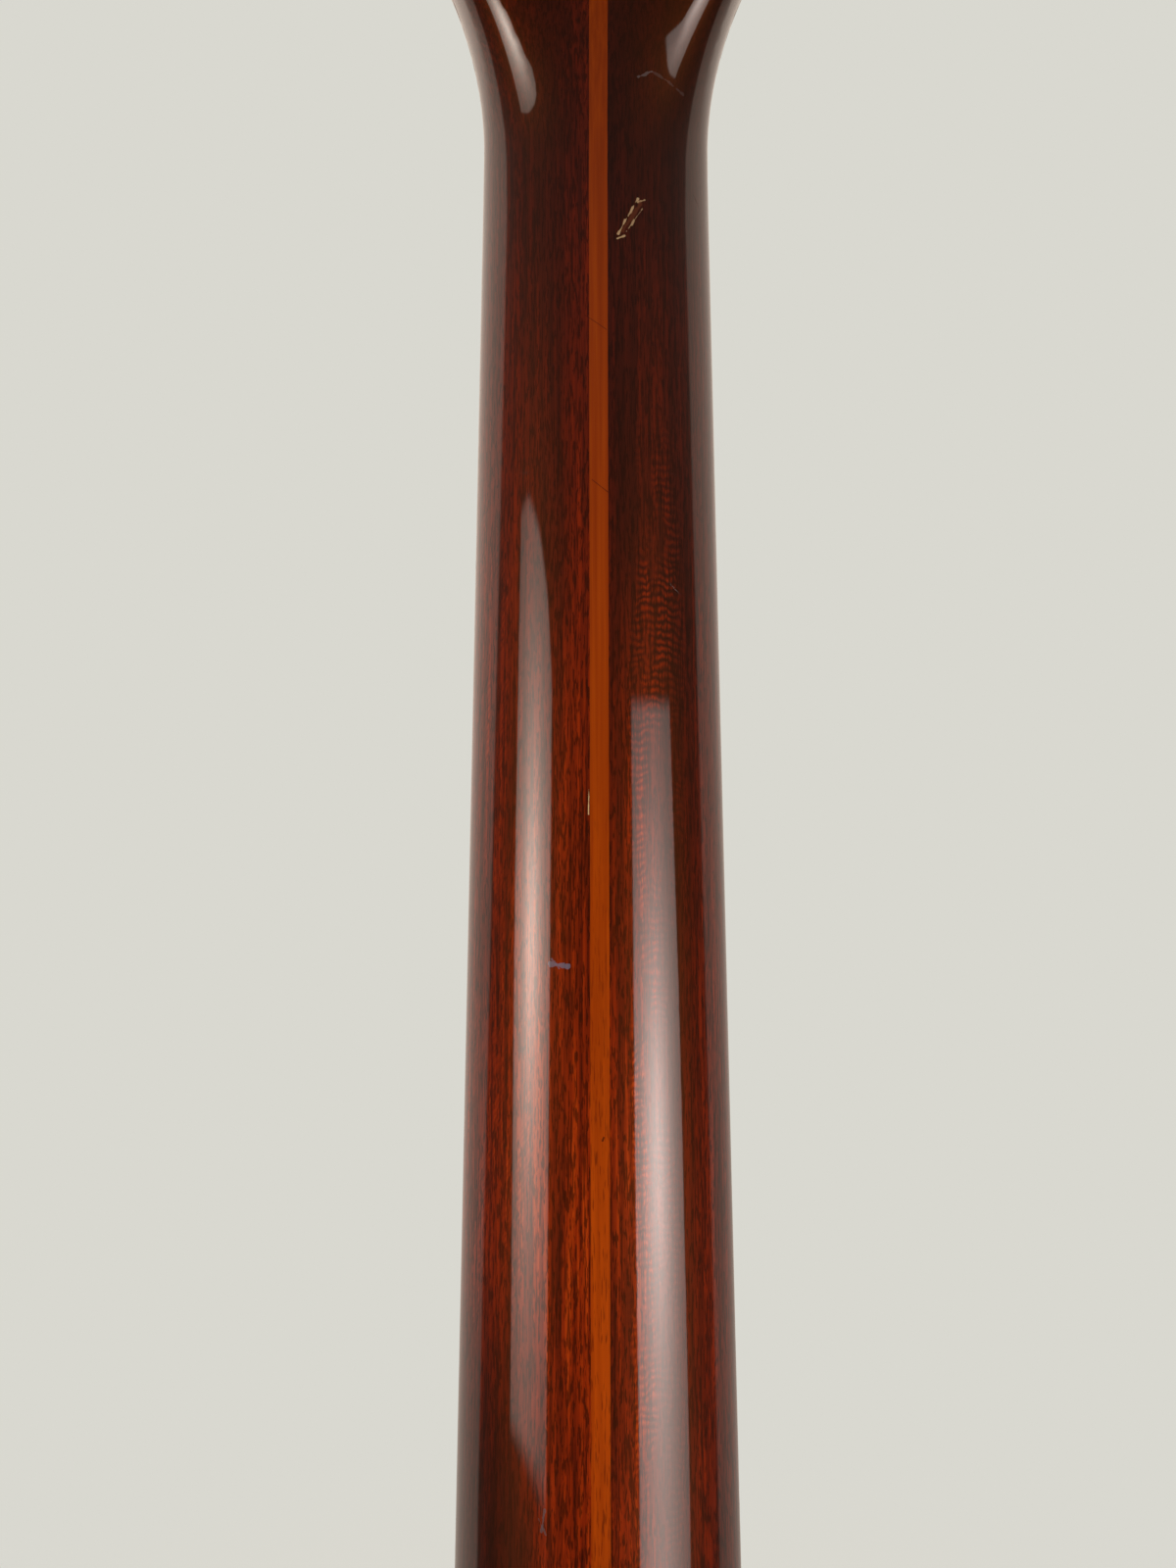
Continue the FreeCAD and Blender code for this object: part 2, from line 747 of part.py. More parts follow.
def fret_solid(number):
    """One fret: a half-round crown on a tang, bent to the board's radius."""
    distance = fret_distance(number)
    z = NUT_Z - distance
    centre = Vector(0, crown_y, z)
    radius = dim("board_radius")
    half = dim("fret_width") / 2
    height = dim("fret_height")
    tang_half = dim("slot_width") / 2

    def bent(profile, half_span):
        angle = math.degrees(math.asin(half_span / radius))
        turned = profile.rotated(centre, Vector(0, 0, 1), -angle)
        return turned.revolve(centre, Vector(0, 0, 1), 2 * angle)

    def spot(out, along):
        return Vector(0, crown_y - radius - out, z + along)

    crown_edges = [
        Part.Arc(spot(0, -half), spot(height, 0), spot(0, half)).toShape(),
        Part.makeLine(spot(0, half), spot(0, -half)),
    ]
    tang_corners = [spot(0, -tang_half), spot(0, tang_half)]
    tang_corners += [spot(-dim("tang_depth"), tang_half), spot(-dim("tang_depth"), -tang_half)]
    tang = Part.Face(Part.makePolygon(tang_corners + tang_corners[:1]))
    board_half = board_width(distance) / 2
    crown_span = board_half - dim("fret_end_gap")
    tang_span = board_half - binding - dim("fret_end_gap")
    crown_solid = bent(Part.Face(Part.Wire(crown_edges)), crown_span)
    return crown_solid.fuse(bent(tang, tang_span)).removeSplitter()


frets = add("Part::Feature", "frets")
frets.Shape = Part.makeCompound([fret_solid(number) for number in fret_numbers])
parts.append(frets)

# ---------------------------------------------------------------- nut

nut = add("PartDesign::Body", "nut")
nut_top = dim("nut_height")
nut_drop = dim("board_radius") - math.sqrt(dim("board_radius") ** 2 - NUT_HALF**2)
nut_sketch = new_sketch(nut, "XY_Plane", "nut_profile")
nut_foot = Vector(NUT_HALF, 0, 0)
nut_shoulder = Vector(NUT_HALF, nut_top - nut_drop, 0)
nut_edges = [
    Part.LineSegment(mirrored(nut_foot), nut_foot),
    Part.LineSegment(nut_foot, nut_shoulder),
    arc(nut_shoulder, Vector(0, nut_top, 0), mirrored(nut_shoulder)),
    Part.LineSegment(mirrored(nut_shoulder), mirrored(nut_foot)),
]
nut_sketch.addGeometry(nut_edges, False)
join_loop(nut_sketch, len(nut_edges))
pad(nut, nut_sketch, "nut_pad", "dims.nut_length")
string_sketch = new_sketch(nut, "XY_Plane", "string_slots")
THICKEST_STRING = 0.7
STRING_STEP = 0.09
for number in range(6):
    x = dim("string_spread") * (number / 5 - 0.5)
    top = nut_top - nut_drop * (x / NUT_HALF) ** 2
    draw_circle(string_sketch, f"string_{number + 1}", x, top, THICKEST_STRING - STRING_STEP * number)
pocket_through(nut, string_sketch, "nut_slots")
nut.Placement = at(0, GLUE_Y, BEND_Z, FLIP)
parts.append(nut)

# ---------------------------------------------------------------- truss rod

nut_z = pocket_z + dim("washer_thickness") + dim("rod_nut_gap")
ROD_SHORT = 1.0
rod_end = nut_z + dim("rod_nut_length") - ROD_SHORT
rod_length = rod_end - dim("rod_start")
parts.append(cylinder("truss_rod", "dims.rod_radius", rod_length, at(0, rod_y, dim("rod_start"))))


def drill(name, base, radius, start, length):
    """Drills a piece along the truss rod's line."""
    hole = cylinder(f"{name}_hole", radius, length, at(0, rod_y, start))
    return cut(name, base, hole)


anchor_block = box(
    "anchor_block",
    (-dim("rod_slot_width") / 2, GLUE_Y, dim("rod_start")),
    ("dims.rod_slot_width", "dims.rod_slot_depth", "dims.anchor_length"),
)
parts.append(drill("truss_rod_anchor", anchor_block, "dims.rod_radius", dim("rod_start") - 1, 2 * WIDE))

WASHER_RISE = 3.5
washer_place = at(0, rod_y, pocket_z)
washer_radius = "dims.pocket_drop - dims.rod_clearance"
washer_disc = cylinder("washer_disc", washer_radius, "dims.washer_thickness", washer_place)
washer_flat = box(
    "washer_flat",
    (-WIDE / 2, rod_y - WASHER_RISE - WIDE, pocket_z - 1),
    (WIDE, WIDE, WIDE),
)
half_moon = cut("half_moon", washer_disc, washer_flat)
washer_bore = "dims.rod_radius + dims.rod_clearance"
parts.append(drill("truss_rod_washer", half_moon, washer_bore, pocket_z - 1, WIDE))

hex_bar = add("Part::Prism", "hex_bar", at(0, rod_y, nut_z))
hex_bar.Polygon = 6
hex_bar.setExpression("Circumradius", "dims.rod_nut_flats / sqrt(3)")
hex_bar.setExpression("Height", "dims.rod_nut_length")
chamfer_cone = add(
    "Part::Cone",
    "nut_chamfer",
    at(0, rod_y, nut_z),
    Radius1="dims.rod_nut_flats / 2 + dims.rod_nut_length",
    Radius2="dims.rod_nut_flats / 2",
    Height="dims.rod_nut_length",
)
chamfered_bar = common("chamfered_bar", hex_bar, chamfer_cone)
nut_bore = "dims.rod_radius + dims.rod_nut_gap"
parts.append(drill("truss_rod_nut", chamfered_bar, nut_bore, nut_z - 1, WIDE))

fillet_length = BEND_Z - dim("rod_start") - dim("anchor_length")
fillet_depth = "dims.rod_depth - dims.rod_radius - dims.rod_clearance"
parts.append(
    box(
        "truss_rod_fillet",
        (-dim("rod_slot_width") / 2, GLUE_Y, dim("rod_start") + dim("anchor_length")),
        ("dims.rod_slot_width", fillet_depth, fillet_length),
    )
)

# ---------------------------------------------------------------- truss rod cover

COVER_FOOT = 1.6
COVER_FOOT_RISE = 6.0
COVER_TIP = 47.0
COVER_FOOT_HALF = 12.0
COVER_TIP_HALF = 6.0
COVER_WAIST = (7.6, 30.0)
cover = add("PartDesign::Body", "truss_rod_cover")
cover_sketch = new_sketch(cover, "XY_Plane", "cover_outline", -dim("veneer_thickness"))
foot_corner = Vector(COVER_FOOT_HALF, COVER_FOOT, 0)
foot_top = Vector(COVER_FOOT_HALF, COVER_FOOT + COVER_FOOT_RISE, 0)
waist = Vector(*COVER_WAIST, 0)
tip_start = Vector(COVER_TIP_HALF, COVER_TIP - COVER_TIP_HALF, 0)
cover_edges = [
    Part.LineSegment(mirrored(foot_corner), foot_corner),
    Part.LineSegment(foot_corner, foot_top),
    arc(foot_top, waist, tip_start),
    arc(tip_start, Vector(0, COVER_TIP, 0), mirrored(tip_start)),
    arc(mirrored(tip_start), mirrored(waist), mirrored(foot_top)),
    Part.LineSegment(mirrored(foot_top), mirrored(foot_corner)),
]
cover_sketch.addGeometry(cover_edges, False)
join_loop(cover_sketch, len(cover_edges))
pad(cover, cover_sketch, "cover_pad", "dims.cover_thickness", reverse=True)
cover_holes = new_sketch(cover, "XY_Plane", "cover_holes")
for number, (x, run) in enumerate(COVER_SCREWS, start=1):
    draw_circle(cover_holes, f"hole_{number}", x, run, COVER_HOLE_RADIUS)
pocket_through(cover, cover_holes, "cover_drilling")
cover.Placement = HEAD_FRAME
parts.append(cover)


HEAD_RISE = 0.6
POINT_TAPER = 1.5
DRIVER_SLOT_HALF = 0.3
DRIVER_SLOT_FLOOR = 0.45


def screw(name, shank_radius, length):
    """A round-headed wood screw: head above 0, shank and point below."""
    body = add("PartDesign::Body", name)
    sketch = new_sketch(body, "XZ_Plane", f"{name}_profile")
    head = dim("screw_head_radius")
    rise = head * HEAD_RISE
    point = length - shank_radius * POINT_TAPER
    corners = [Vector(0, rise, 0), Vector(0, -length, 0), Vector(shank_radius, -point, 0)]
    corners += [Vector(shank_radius, 0, 0), Vector(head, 0, 0)]
    lines = [Part.LineSegment(start, end) for start, end in zip(corners, corners[1:])]
    ball_radius = (head**2 + rise**2) / (2 * rise)
    ball = Vector(0, rise - ball_radius, 0)
    dome = arc(corners[-1], on_arc(ball, corners[-1], corners[0]), corners[0])
    sketch.addGeometry(lines + [dome], False)
    join_loop(sketch, len(corners))
    revolve(body, sketch, f"{name}_turned")
    slot = new_sketch(body, "XZ_Plane", f"{name}_slot")
    floor = rise * DRIVER_SLOT_FLOOR
    slot_sides = (-DRIVER_SLOT_HALF, DRIVER_SLOT_HALF)
    bottom = [(x, floor) for x in slot_sides]
    top = [(x, head) for x in reversed(slot_sides)]
    draw_polygon(slot, bottom + top)
    pocket_through(body, slot, f"{name}_driver_slot")
    return body


cover_screw = screw("cover_screw", COVER_HOLE_RADIUS, dim("cover_screw_length"))
cover_front = -dim("veneer_thickness") - dim("cover_thickness")
copies = []
for number, (x, run) in enumerate(COVER_SCREWS, start=1):
    copies.append(group(f"cover_screw_{number}", [cover_screw], in_head(x, run, cover_front, FLIP)))
parts.append(group("truss_rod_cover_screws", copies))

# ---------------------------------------------------------------- heel inserts

inserts = []
for number, y in enumerate(bolt_ys, start=1):
    sleeve = cylinder(f"sleeve_{number}", "dims.insert_radius", "dims.insert_length", at(0, y, 0))
    bore_length = "dims.insert_length + 2"
    bore = cylinder(f"sleeve_bore_{number}", "dims.bolt_hole_radius", bore_length, at(0, y, -1))
    inserts.append(cut(f"insert_{number}", sleeve, bore))
parts.append(group("threaded_inserts", inserts))

# ---------------------------------------------------------------- tuner masters
# Tuner frame: post axis along Z from the back of the wood, worm axis along X on the nut's side.

LEAD = math.pi * dim("gear_module")
GEAR_PITCH_RADIUS = dim("gear_module") * dim("gear_teeth") / 2
CENTRE_DISTANCE = GEAR_PITCH_RADIUS + dim("worm_pitch_radius")
LEAD_ANGLE = math.degrees(math.atan(LEAD / (2 * math.pi * dim("worm_pitch_radius"))))
WORM_LINE = (-CENTRE_DISTANCE, dim("worm_height"))
THREAD_FOOT = 0.46
THREAD_CREST = 0.17
TOOTH_FOOT = 0.55
TOOTH_CREST = 0.22
ROOT_OVERLAP = 0.2


def worm_thread():
    """The worm's one right-hand thread, along Z, with a crest on the X side at the middle."""
    turns = dim("worm_turns")
    helix = Part.makeHelix(LEAD, LEAD * turns, dim("worm_pitch_radius"))
    foot = dim("worm_root_radius") - ROOT_OVERLAP
    tip = dim("worm_tip_radius")
    corners = [
        Vector(foot, 0, -THREAD_FOOT),
        Vector(tip, 0, -THREAD_CREST),
        Vector(tip, 0, THREAD_CREST),
        Vector(foot, 0, THREAD_FOOT),
    ]
    profile = Part.makePolygon(corners + corners[:1])
    thread = Part.Wire(helix.Edges).makePipeShell([profile], True, True)
    thread.translate(Vector(0, 0, -LEAD * turns / 2))
    return thread


thread = add("Part::Feature", "worm_thread")
thread.Shape = worm_thread()
WORM_END_GAP = 0.25
SHAFT_END_INSET = 0.3
worm_half = dim("lug_gap") - WORM_END_GAP
worm_core = cylinder("worm_core", "dims.worm_root_radius", 2 * worm_half, at(0, 0, -worm_half))
inner_end = SHAFT_END_INSET - dim("shell_width") / 2
rod_span = dim("shaft_length") - inner_end
worm_rod = cylinder("worm_rod", "dims.shaft_radius", rod_span, at(0, 0, inner_end))
worm_shaft = fuse("worm_shaft", [worm_core, worm_rod, thread])
ALONG_WORM = Rotation(Vector(0, 1, 0), Vector(0, 0, 1), Vector(1, 0, 0), "ZXY")
WORM_PLACE = at(0, *WORM_LINE, ALONG_WORM)

stem = add(
    "Part::Cone",
    "button_stem",
    at(0, 0, dim("button_start")),
    Radius1="dims.stem_foot_radius",
    Radius2="dims.stem_top_radius",
    Height="dims.stem_length",
)
oval = add(
    "Part::Ellipsoid",
    "button_oval",
    at(0, 0, dim("button_middle")),
    Radius1="dims.button_half_length",
    Radius2="dims.button_half_width",
    Radius3="dims.button_half_thickness",
)
collar = add(
    "Part::Torus",
    "button_collar",
    at(0, 0, dim("button_start") + dim("collar_bead")),
    Radius1="dims.stem_foot_radius",
    Radius2="dims.collar_bead",
)
button_bore = cylinder("button_bore", "dims.shaft_radius", "dims.shaft_length", at(0, 0, 0))
button = cut("button", fuse("button_blank", [stem, oval, collar]), button_bore)


def gear_solid():
    """Straight-sided teeth on a disc, each turned to lie along the worm's thread."""
    width = dim("gear_width")
    foot = dim("gear_root_radius") - ROOT_OVERLAP
    tip = dim("gear_tip_radius")
    corners = [
        Vector(foot, -TOOTH_FOOT, -width),
        Vector(tip, -TOOTH_CREST, -width),
        Vector(tip, TOOTH_CREST, -width),
        Vector(foot, TOOTH_FOOT, -width),
    ]
    tooth = Part.Face(Part.makePolygon(corners + corners[:1])).extrude(Vector(0, 0, 2 * width))
    tooth.rotate(Vector(), Vector(1, 0, 0), -LEAD_ANGLE)
    pitch = 360 / dim("gear_teeth")
    wheel = Part.makeCylinder(dim("gear_root_radius"), 2 * width, Vector(0, 0, -width))
    teeth = []
    for number in range(int(dim("gear_teeth"))):
        turned = tooth.rotated(Vector(), Vector(0, 0, 1), -90 + pitch * (number + 0.5))
        teeth.append(turned)
    wheel = wheel.fuse(teeth)
    slab = Part.makeCylinder(2 * tip, width, Vector(0, 0, -width / 2))
    bore = Part.makeCylinder(dim("gear_bore_radius"), 2 * width, Vector(0, 0, -width))
    return wheel.common(slab).cut(bore).removeSplitter()


gear = add("Part::Feature", "gear")
gear.Shape = gear_solid()

gear_low = dim("worm_height") - dim("gear_width") / 2
gear_high = dim("worm_height") + dim("gear_width") / 2
face_z = -dim("head_thickness") - dim("veneer_thickness")
post_tip = face_z - dim("post_rise")
RIVET_RISE = 0.8
RIVET_RADIUS = 2.9
WAIST_RADIUS = 2.3
WAIST_LOW = 2.6
WAIST_HIGH = 11.0
BEVEL = 0.5
STRING_HOLE_RADIUS = 1.0
post = add("PartDesign::Body", "post")
post_sketch = new_sketch(post, "XZ_Plane", "post_profile")
outer = dim("post_radius")
bore_radius = dim("gear_bore_radius")
waist_low = post_tip + WAIST_LOW
waist_high = post_tip + WAIST_HIGH
profile = [
    Vector(0, gear_high + RIVET_RISE, 0),
    Vector(0, post_tip, 0),
    Vector(outer - BEVEL, post_tip, 0),
    Vector(outer, post_tip + BEVEL, 0),
    Vector(outer, waist_low, 0),
    Vector(outer, waist_high, 0),
    Vector(outer, gear_low, 0),
    Vector(bore_radius, gear_low, 0),
    Vector(bore_radius, gear_high, 0),
    Vector(RIVET_RADIUS, gear_high, 0),
    Vector(bore_radius, gear_high + RIVET_RISE, 0),
]
post_edges = []
for start, end in zip(profile, profile[1:] + profile[:1]):
    if start.y == waist_low:
        post_edges.append(arc(start, Vector(WAIST_RADIUS, (waist_low + waist_high) / 2, 0), end))
    else:
        post_edges.append(Part.LineSegment(start, end))
post_sketch.addGeometry(post_edges, False)
join_loop(post_sketch, len(post_edges))
revolve(post, post_sketch, "post_turned")
string_hole = new_sketch(post, "XZ_Plane", "string_hole")
draw_circle(string_hole, "string_hole", 0, (waist_low + waist_high) / 2, STRING_HOLE_RADIUS)
pocket_through(post, string_hole, "post_drilling")

bushing = add("PartDesign::Body", "bushing")
bushing_sketch = new_sketch(bushing, "XZ_Plane", "bushing_profile")
bore_wall = dim("post_radius") + dim("running_gap")
flange_top = face_z - dim("flange_thickness")
flange = dim("flange_radius")
draw_polygon(
    bushing_sketch,
    [
        (bore_wall, flange_top),
        (flange - BEVEL, flange_top),
        (flange, flange_top + BEVEL),
        (flange, face_z),
        (dim("bushing_radius"), face_z),
        (dim("bushing_radius"), face_z + dim("bushing_length")),
        (bore_wall, face_z + dim("bushing_length")),
    ],
)
revolve(bushing, bushing_sketch, "bushing_turned")

# The cover shell stands on the base plate, whose two lugs carry the worm shaft.
WORM_ROOM = 0.6
GEAR_ROOM = 0.8
RIM = 0.6
TAB_RADIUS = 3.0
shell_half = dim("shell_width") / 2
shell_low = -CENTRE_DISTANCE - dim("worm_tip_radius") - WORM_ROOM - dim("shell_wall")
shell_high = dim("gear_tip_radius") + GEAR_ROOM + dim("shell_wall")

base_plate = add("PartDesign::Body", "base_plate")
base_sketch = new_sketch(base_plate, "XY_Plane", "base_outline")
low_rim = Vector(shell_half + RIM, shell_low - RIM, 0)
high_rim = Vector(shell_half + RIM, shell_high + RIM, 0)
low_side, high_side = [Vector(TAB_RADIUS, run, 0) for run in TAB_RUNS]
low_tab = Vector(0, TAB_RUNS[0] - TAB_RADIUS, 0)
high_tab = Vector(0, TAB_RUNS[1] + TAB_RADIUS, 0)
base_edges = [
    Part.LineSegment(mirrored(low_rim), mirrored(low_side)),
    arc(mirrored(low_side), low_tab, low_side),
    Part.LineSegment(low_side, low_rim),
    Part.LineSegment(low_rim, high_rim),
    Part.LineSegment(high_rim, high_side),
    arc(high_side, high_tab, mirrored(high_side)),
    Part.LineSegment(mirrored(high_side), mirrored(high_rim)),
    Part.LineSegment(mirrored(high_rim), mirrored(low_rim)),
]
base_sketch.addGeometry(base_edges, False)
join_loop(base_sketch, len(base_edges))
pad(base_plate, base_sketch, "base_pad", "dims.plate_thickness")
LUG_HALF = 2.7
lug_height = dim("worm_height") + LUG_HALF
lug_sketch = new_sketch(base_plate, "XY_Plane", "lug_outline")
for side in (-1, 1):
    near = side * dim("lug_gap")
    far = side * (dim("lug_gap") + dim("lug_thickness"))
    low = -CENTRE_DISTANCE - LUG_HALF
    high = -CENTRE_DISTANCE + LUG_HALF
    draw_polygon(lug_sketch, [(near, low), (far, low), (far, high), (near, high)])
pad(base_plate, lug_sketch, "lug_pad", lug_height)
bearing_sketch = new_sketch(base_plate, "YZ_Plane", "bearing_holes")
draw_circle(bearing_sketch, "bearing", *WORM_LINE, "dims.shaft_radius + dims.running_gap")
pocket_through(base_plate, bearing_sketch, "bearing_drilling")
base_holes = new_sketch(base_plate, "XY_Plane", "base_holes")
draw_circle(base_holes, "post_hole", 0, 0, "dims.post_radius + dims.running_gap")
for number, tab_run in enumerate(TAB_RUNS, start=1):
    draw_circle(base_holes, f"tab_hole_{number}", 0, tab_run, "dims.screw_radius")
pocket_through(base_plate, base_holes, "base_drilling")

shell = add("PartDesign::Body", "shell")
shell_sketch = new_sketch(shell, "XY_Plane", "shell_outline", dim("plate_thickness"))
shell_bottom = [(x, shell_low) for x in (-shell_half, shell_half)]
shell_top = [(x, shell_high) for x in (shell_half, -shell_half)]
draw_polygon(shell_sketch, shell_bottom + shell_top)
shell_pad = pad(shell, shell_sketch, "shell_pad", "dims.shell_height - dims.plate_thickness")
doc.recompute()


def outer_edges(shape, floor):
    """The names of every edge but those round the open bottom."""
    names = []
    for number, edge in enumerate(shape.Edges, start=1):
        if edge.BoundBox.ZMax > floor + 0.001:
            names.append(f"Edge{number}")
    return names


shell_round = shell.newObject("PartDesign::Fillet", "shell_round")
shell_round.Base = (shell_pad, outer_edges(shell_pad.Shape, dim("plate_thickness")))
shell_round.setExpression("Radius", "dims.shell_round")
shell.Tip = shell_round
doc.recompute()


def bottom_face(shape, floor):
    """The name of the flat face that the shell is opened at."""
    for number, face in enumerate(shape.Faces, start=1):
        if face.BoundBox.ZMax < floor + 0.001:
            return f"Face{number}"
    return None


shell_hollow = shell.newObject("PartDesign::Thickness", "shell_hollow")
shell_hollow.Base = (shell_round, [bottom_face(shell_round.Shape, dim("plate_thickness"))])
shell_hollow.setExpression("Value", "dims.shell_wall")
shell_hollow.Reversed = True
shell.Tip = shell_hollow
SHELL_SHAFT_GAP = 0.4
shaft_window = new_sketch(shell, "YZ_Plane", "shaft_window")
draw_circle(shaft_window, "window", *WORM_LINE, f"dims.shaft_radius + {SHELL_SHAFT_GAP}")
pocket_through(shell, shaft_window, "shaft_windows")

tuner_screw = screw("tuner_screw", dim("screw_radius"), dim("tuner_screw_length"))

# ---------------------------------------------------------------- tuners in place

HALF_TURN = at(0, 0, 2 * dim("worm_height"), Rotation(Vector(0, 1, 0), 180))
GEAR_PLACE = at(0, 0, dim("worm_height"))
bushing_copies = []
screw_copies = []
for number, side, run in tuner_places():
    frame = tuner_frame(side, run)
    # A treble-side worm and gear are the bass-side pair turned over, so both stay right-handed.
    turned = frame if side > 0 else frame.multiply(HALF_TURN)
    moving = {
        "worm_shaft": (worm_shaft, turned.multiply(WORM_PLACE)),
        "button": (button, turned.multiply(WORM_PLACE)),
        "gear": (gear, turned.multiply(GEAR_PLACE)),
        "post": (post, frame),
        "baseplate": (base_plate, frame),
        "cover": (shell, frame),
    }
    for piece, (master, place) in moving.items():
        parts.append(group(f"tuner_{number}_{piece}", [master], place))
    bushing_copies.append(group(f"bushing_{number}", [bushing], frame))
    for place, tab_run in enumerate(TAB_RUNS, start=1):
        seat = frame.multiply(at(0, tab_run, dim("plate_thickness")))
        screw_copies.append(group(f"tuner_screw_{number}_{place}", [tuner_screw], seat))
parts.append(group("tuner_bushings", bushing_copies))
parts.append(group("tuner_screws", screw_copies))

# ---------------------------------------------------------------- checks and export

doc.recompute()
problems = []
for item in doc.Objects:
    if "Invalid" in item.State or "Error" in item.State:
        problems.append(f"{item.Label}: {item.State} {item.getStatusString()}")
for item in parts:
    if item.Shape.isNull() or not item.Shape.isValid() or not item.Shape.Solids:
        problems.append(f"{item.Label}: no valid solid")
if problems:
    raise RuntimeError("; ".join(problems))

os.makedirs("parts", exist_ok=True)
for item in parts:
    item.Shape.exportStep(f"parts/{item.Label}.step")
    print(item.Label, len(item.Shape.Solids), round(item.Shape.Volume, 2))
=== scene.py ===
import math

import bmesh
import bpy
import numpy as np
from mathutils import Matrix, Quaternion, Vector
from mathutils.bvhtree import BVHTree
from mathutils.interpolate import poly_3d_calc


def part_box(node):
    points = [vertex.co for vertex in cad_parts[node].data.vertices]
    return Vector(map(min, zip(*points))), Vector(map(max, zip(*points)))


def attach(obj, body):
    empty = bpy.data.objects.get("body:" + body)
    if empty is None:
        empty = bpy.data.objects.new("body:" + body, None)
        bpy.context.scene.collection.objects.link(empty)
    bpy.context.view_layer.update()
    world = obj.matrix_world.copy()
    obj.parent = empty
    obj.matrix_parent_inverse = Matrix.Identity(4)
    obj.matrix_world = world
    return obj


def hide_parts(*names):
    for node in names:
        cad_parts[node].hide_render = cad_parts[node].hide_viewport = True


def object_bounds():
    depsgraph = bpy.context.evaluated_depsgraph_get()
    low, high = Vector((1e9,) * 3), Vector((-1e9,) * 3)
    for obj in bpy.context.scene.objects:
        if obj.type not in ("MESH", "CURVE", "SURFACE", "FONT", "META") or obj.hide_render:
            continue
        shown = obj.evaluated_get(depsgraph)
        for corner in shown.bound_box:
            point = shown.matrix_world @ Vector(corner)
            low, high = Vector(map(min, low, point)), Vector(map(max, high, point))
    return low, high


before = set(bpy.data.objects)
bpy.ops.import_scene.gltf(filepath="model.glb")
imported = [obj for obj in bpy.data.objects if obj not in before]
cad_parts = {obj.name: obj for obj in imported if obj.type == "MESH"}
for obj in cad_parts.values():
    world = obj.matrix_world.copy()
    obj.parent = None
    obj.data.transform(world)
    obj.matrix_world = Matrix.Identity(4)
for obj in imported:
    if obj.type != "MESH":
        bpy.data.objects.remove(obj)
cad_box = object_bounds()
MM = 0.001

# ---------------------------------------------------------------- places from the frame

# +Z runs up the neck to the headstock, +Y is the neck's back and -X is the bass side.
nut_low, nut_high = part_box("nut")
NUT_FRONT = nut_low.z
NUT_BACK = nut_high.z
GLUE_PLANE = nut_high.y
NUT_HALF = nut_high.x


def below_nut(distance):
    """A height on the neck, given in millimetres below the front of the nut."""
    return NUT_FRONT - distance * MM


# ---------------------------------------------------------------- camera

# The aim is in millimetres below the nut, and the lens and sensor in millimetres, as Blender
# takes them.
CAMERA_DISTANCE = 213.8 * MM
CAMERA_AIM = 117.0
CAMERA_TILT = math.radians(2.6)
CAMERA_YAW = math.radians(1.236)
CAMERA_ROLL = math.radians(0.075)
CAMERA_ASIDE = 6.2 * MM
CAMERA_LENS = 27.07
CAMERA_SENSOR = 36.0
CAMERA_REACH = (0.005, 50.0)


def make_camera():
    """A phone's view, close behind the neck and tilted a little upwards."""
    data = bpy.data.cameras.new("camera")
    data.lens = CAMERA_LENS
    data.sensor_width = CAMERA_SENSOR
    data.clip_start, data.clip_end = CAMERA_REACH
    camera = bpy.data.objects.new("camera", data)
    bpy.context.scene.collection.objects.link(camera)
    aim = Vector((0.0, GLUE_PLANE, below_nut(CAMERA_AIM)))
    forward = Vector((0.0, -math.cos(CAMERA_TILT), math.sin(CAMERA_TILT)))
    camera.location = aim - forward * CAMERA_DISTANCE + Vector((CAMERA_ASIDE, 0.0, 0.0))
    forward = Quaternion((0, 0, 1), -CAMERA_YAW) @ forward
    camera.rotation_mode = "QUATERNION"
    turned = Quaternion(forward, CAMERA_ROLL) @ forward.to_track_quat("-Z", "Y")
    camera.rotation_quaternion = turned
    bpy.context.scene.camera = camera


make_camera()
bpy.context.scene.view_settings.view_transform = "Standard"

# ---------------------------------------------------------------- the neck's carved form

# Millimetres, as in the CAD model. A run is the distance from the bend of the headstock, negative
# along the neck.
SCALE_LENGTH = 628.0
WIDTH_AT_12 = 52.4
DEPTH_AT_1 = 14.6
DEPTH_AT_12 = 17.0
HEEL_SWELL = 41.0
HEEL_SPREAD = 42.0
HEEL_POWER = 1.6
HEAD_ANGLE = math.radians(14.0)
HEAD_THICKNESS = 13.5
BEND_REACH = 22.0
FLARE_RADIUS = 65.0
EAR_RADIUS = 14.0
EAR_HALF_WIDTH = 35.5
SIDE_ANGLE = math.radians(1.5)
EDGE_RADIUS = 2.5
# The oval section turns into the headstock's flat plate between these runs. Of a quarter of a
# plate's section, these shares are its side and its rounded edge.
BLEND_START = -10.0
PLATE_START = 44.0
SIDE_SHARE = 0.3
EDGE_SHARE = 0.35
# The form's grid: straight stock in front of the glue plane, and the number of steps.
FRONT_STOCK = 8.0
FORM_STEP = 1.5
QUARTER_STEPS = 60
FRONT_STEPS = 5

NUT_Z = NUT_FRONT / MM
BEND_Z = NUT_BACK / MM
NUT_LENGTH = BEND_Z - NUT_Z
GLUE_Y = GLUE_PLANE / MM
HALF_AT_NUT = NUT_HALF / MM


def fret_distance(number):
    """How far a fret is from the nut."""
    return SCALE_LENGTH * (1 - 2 ** (-number / 12))


def smooth_step(value, start, end):
    """Nought before the start, one after the end and a soft rise between."""
    share = min(max((value - start) / (end - start), 0.0), 1.0)
    return share * share * (3 - 2 * share)


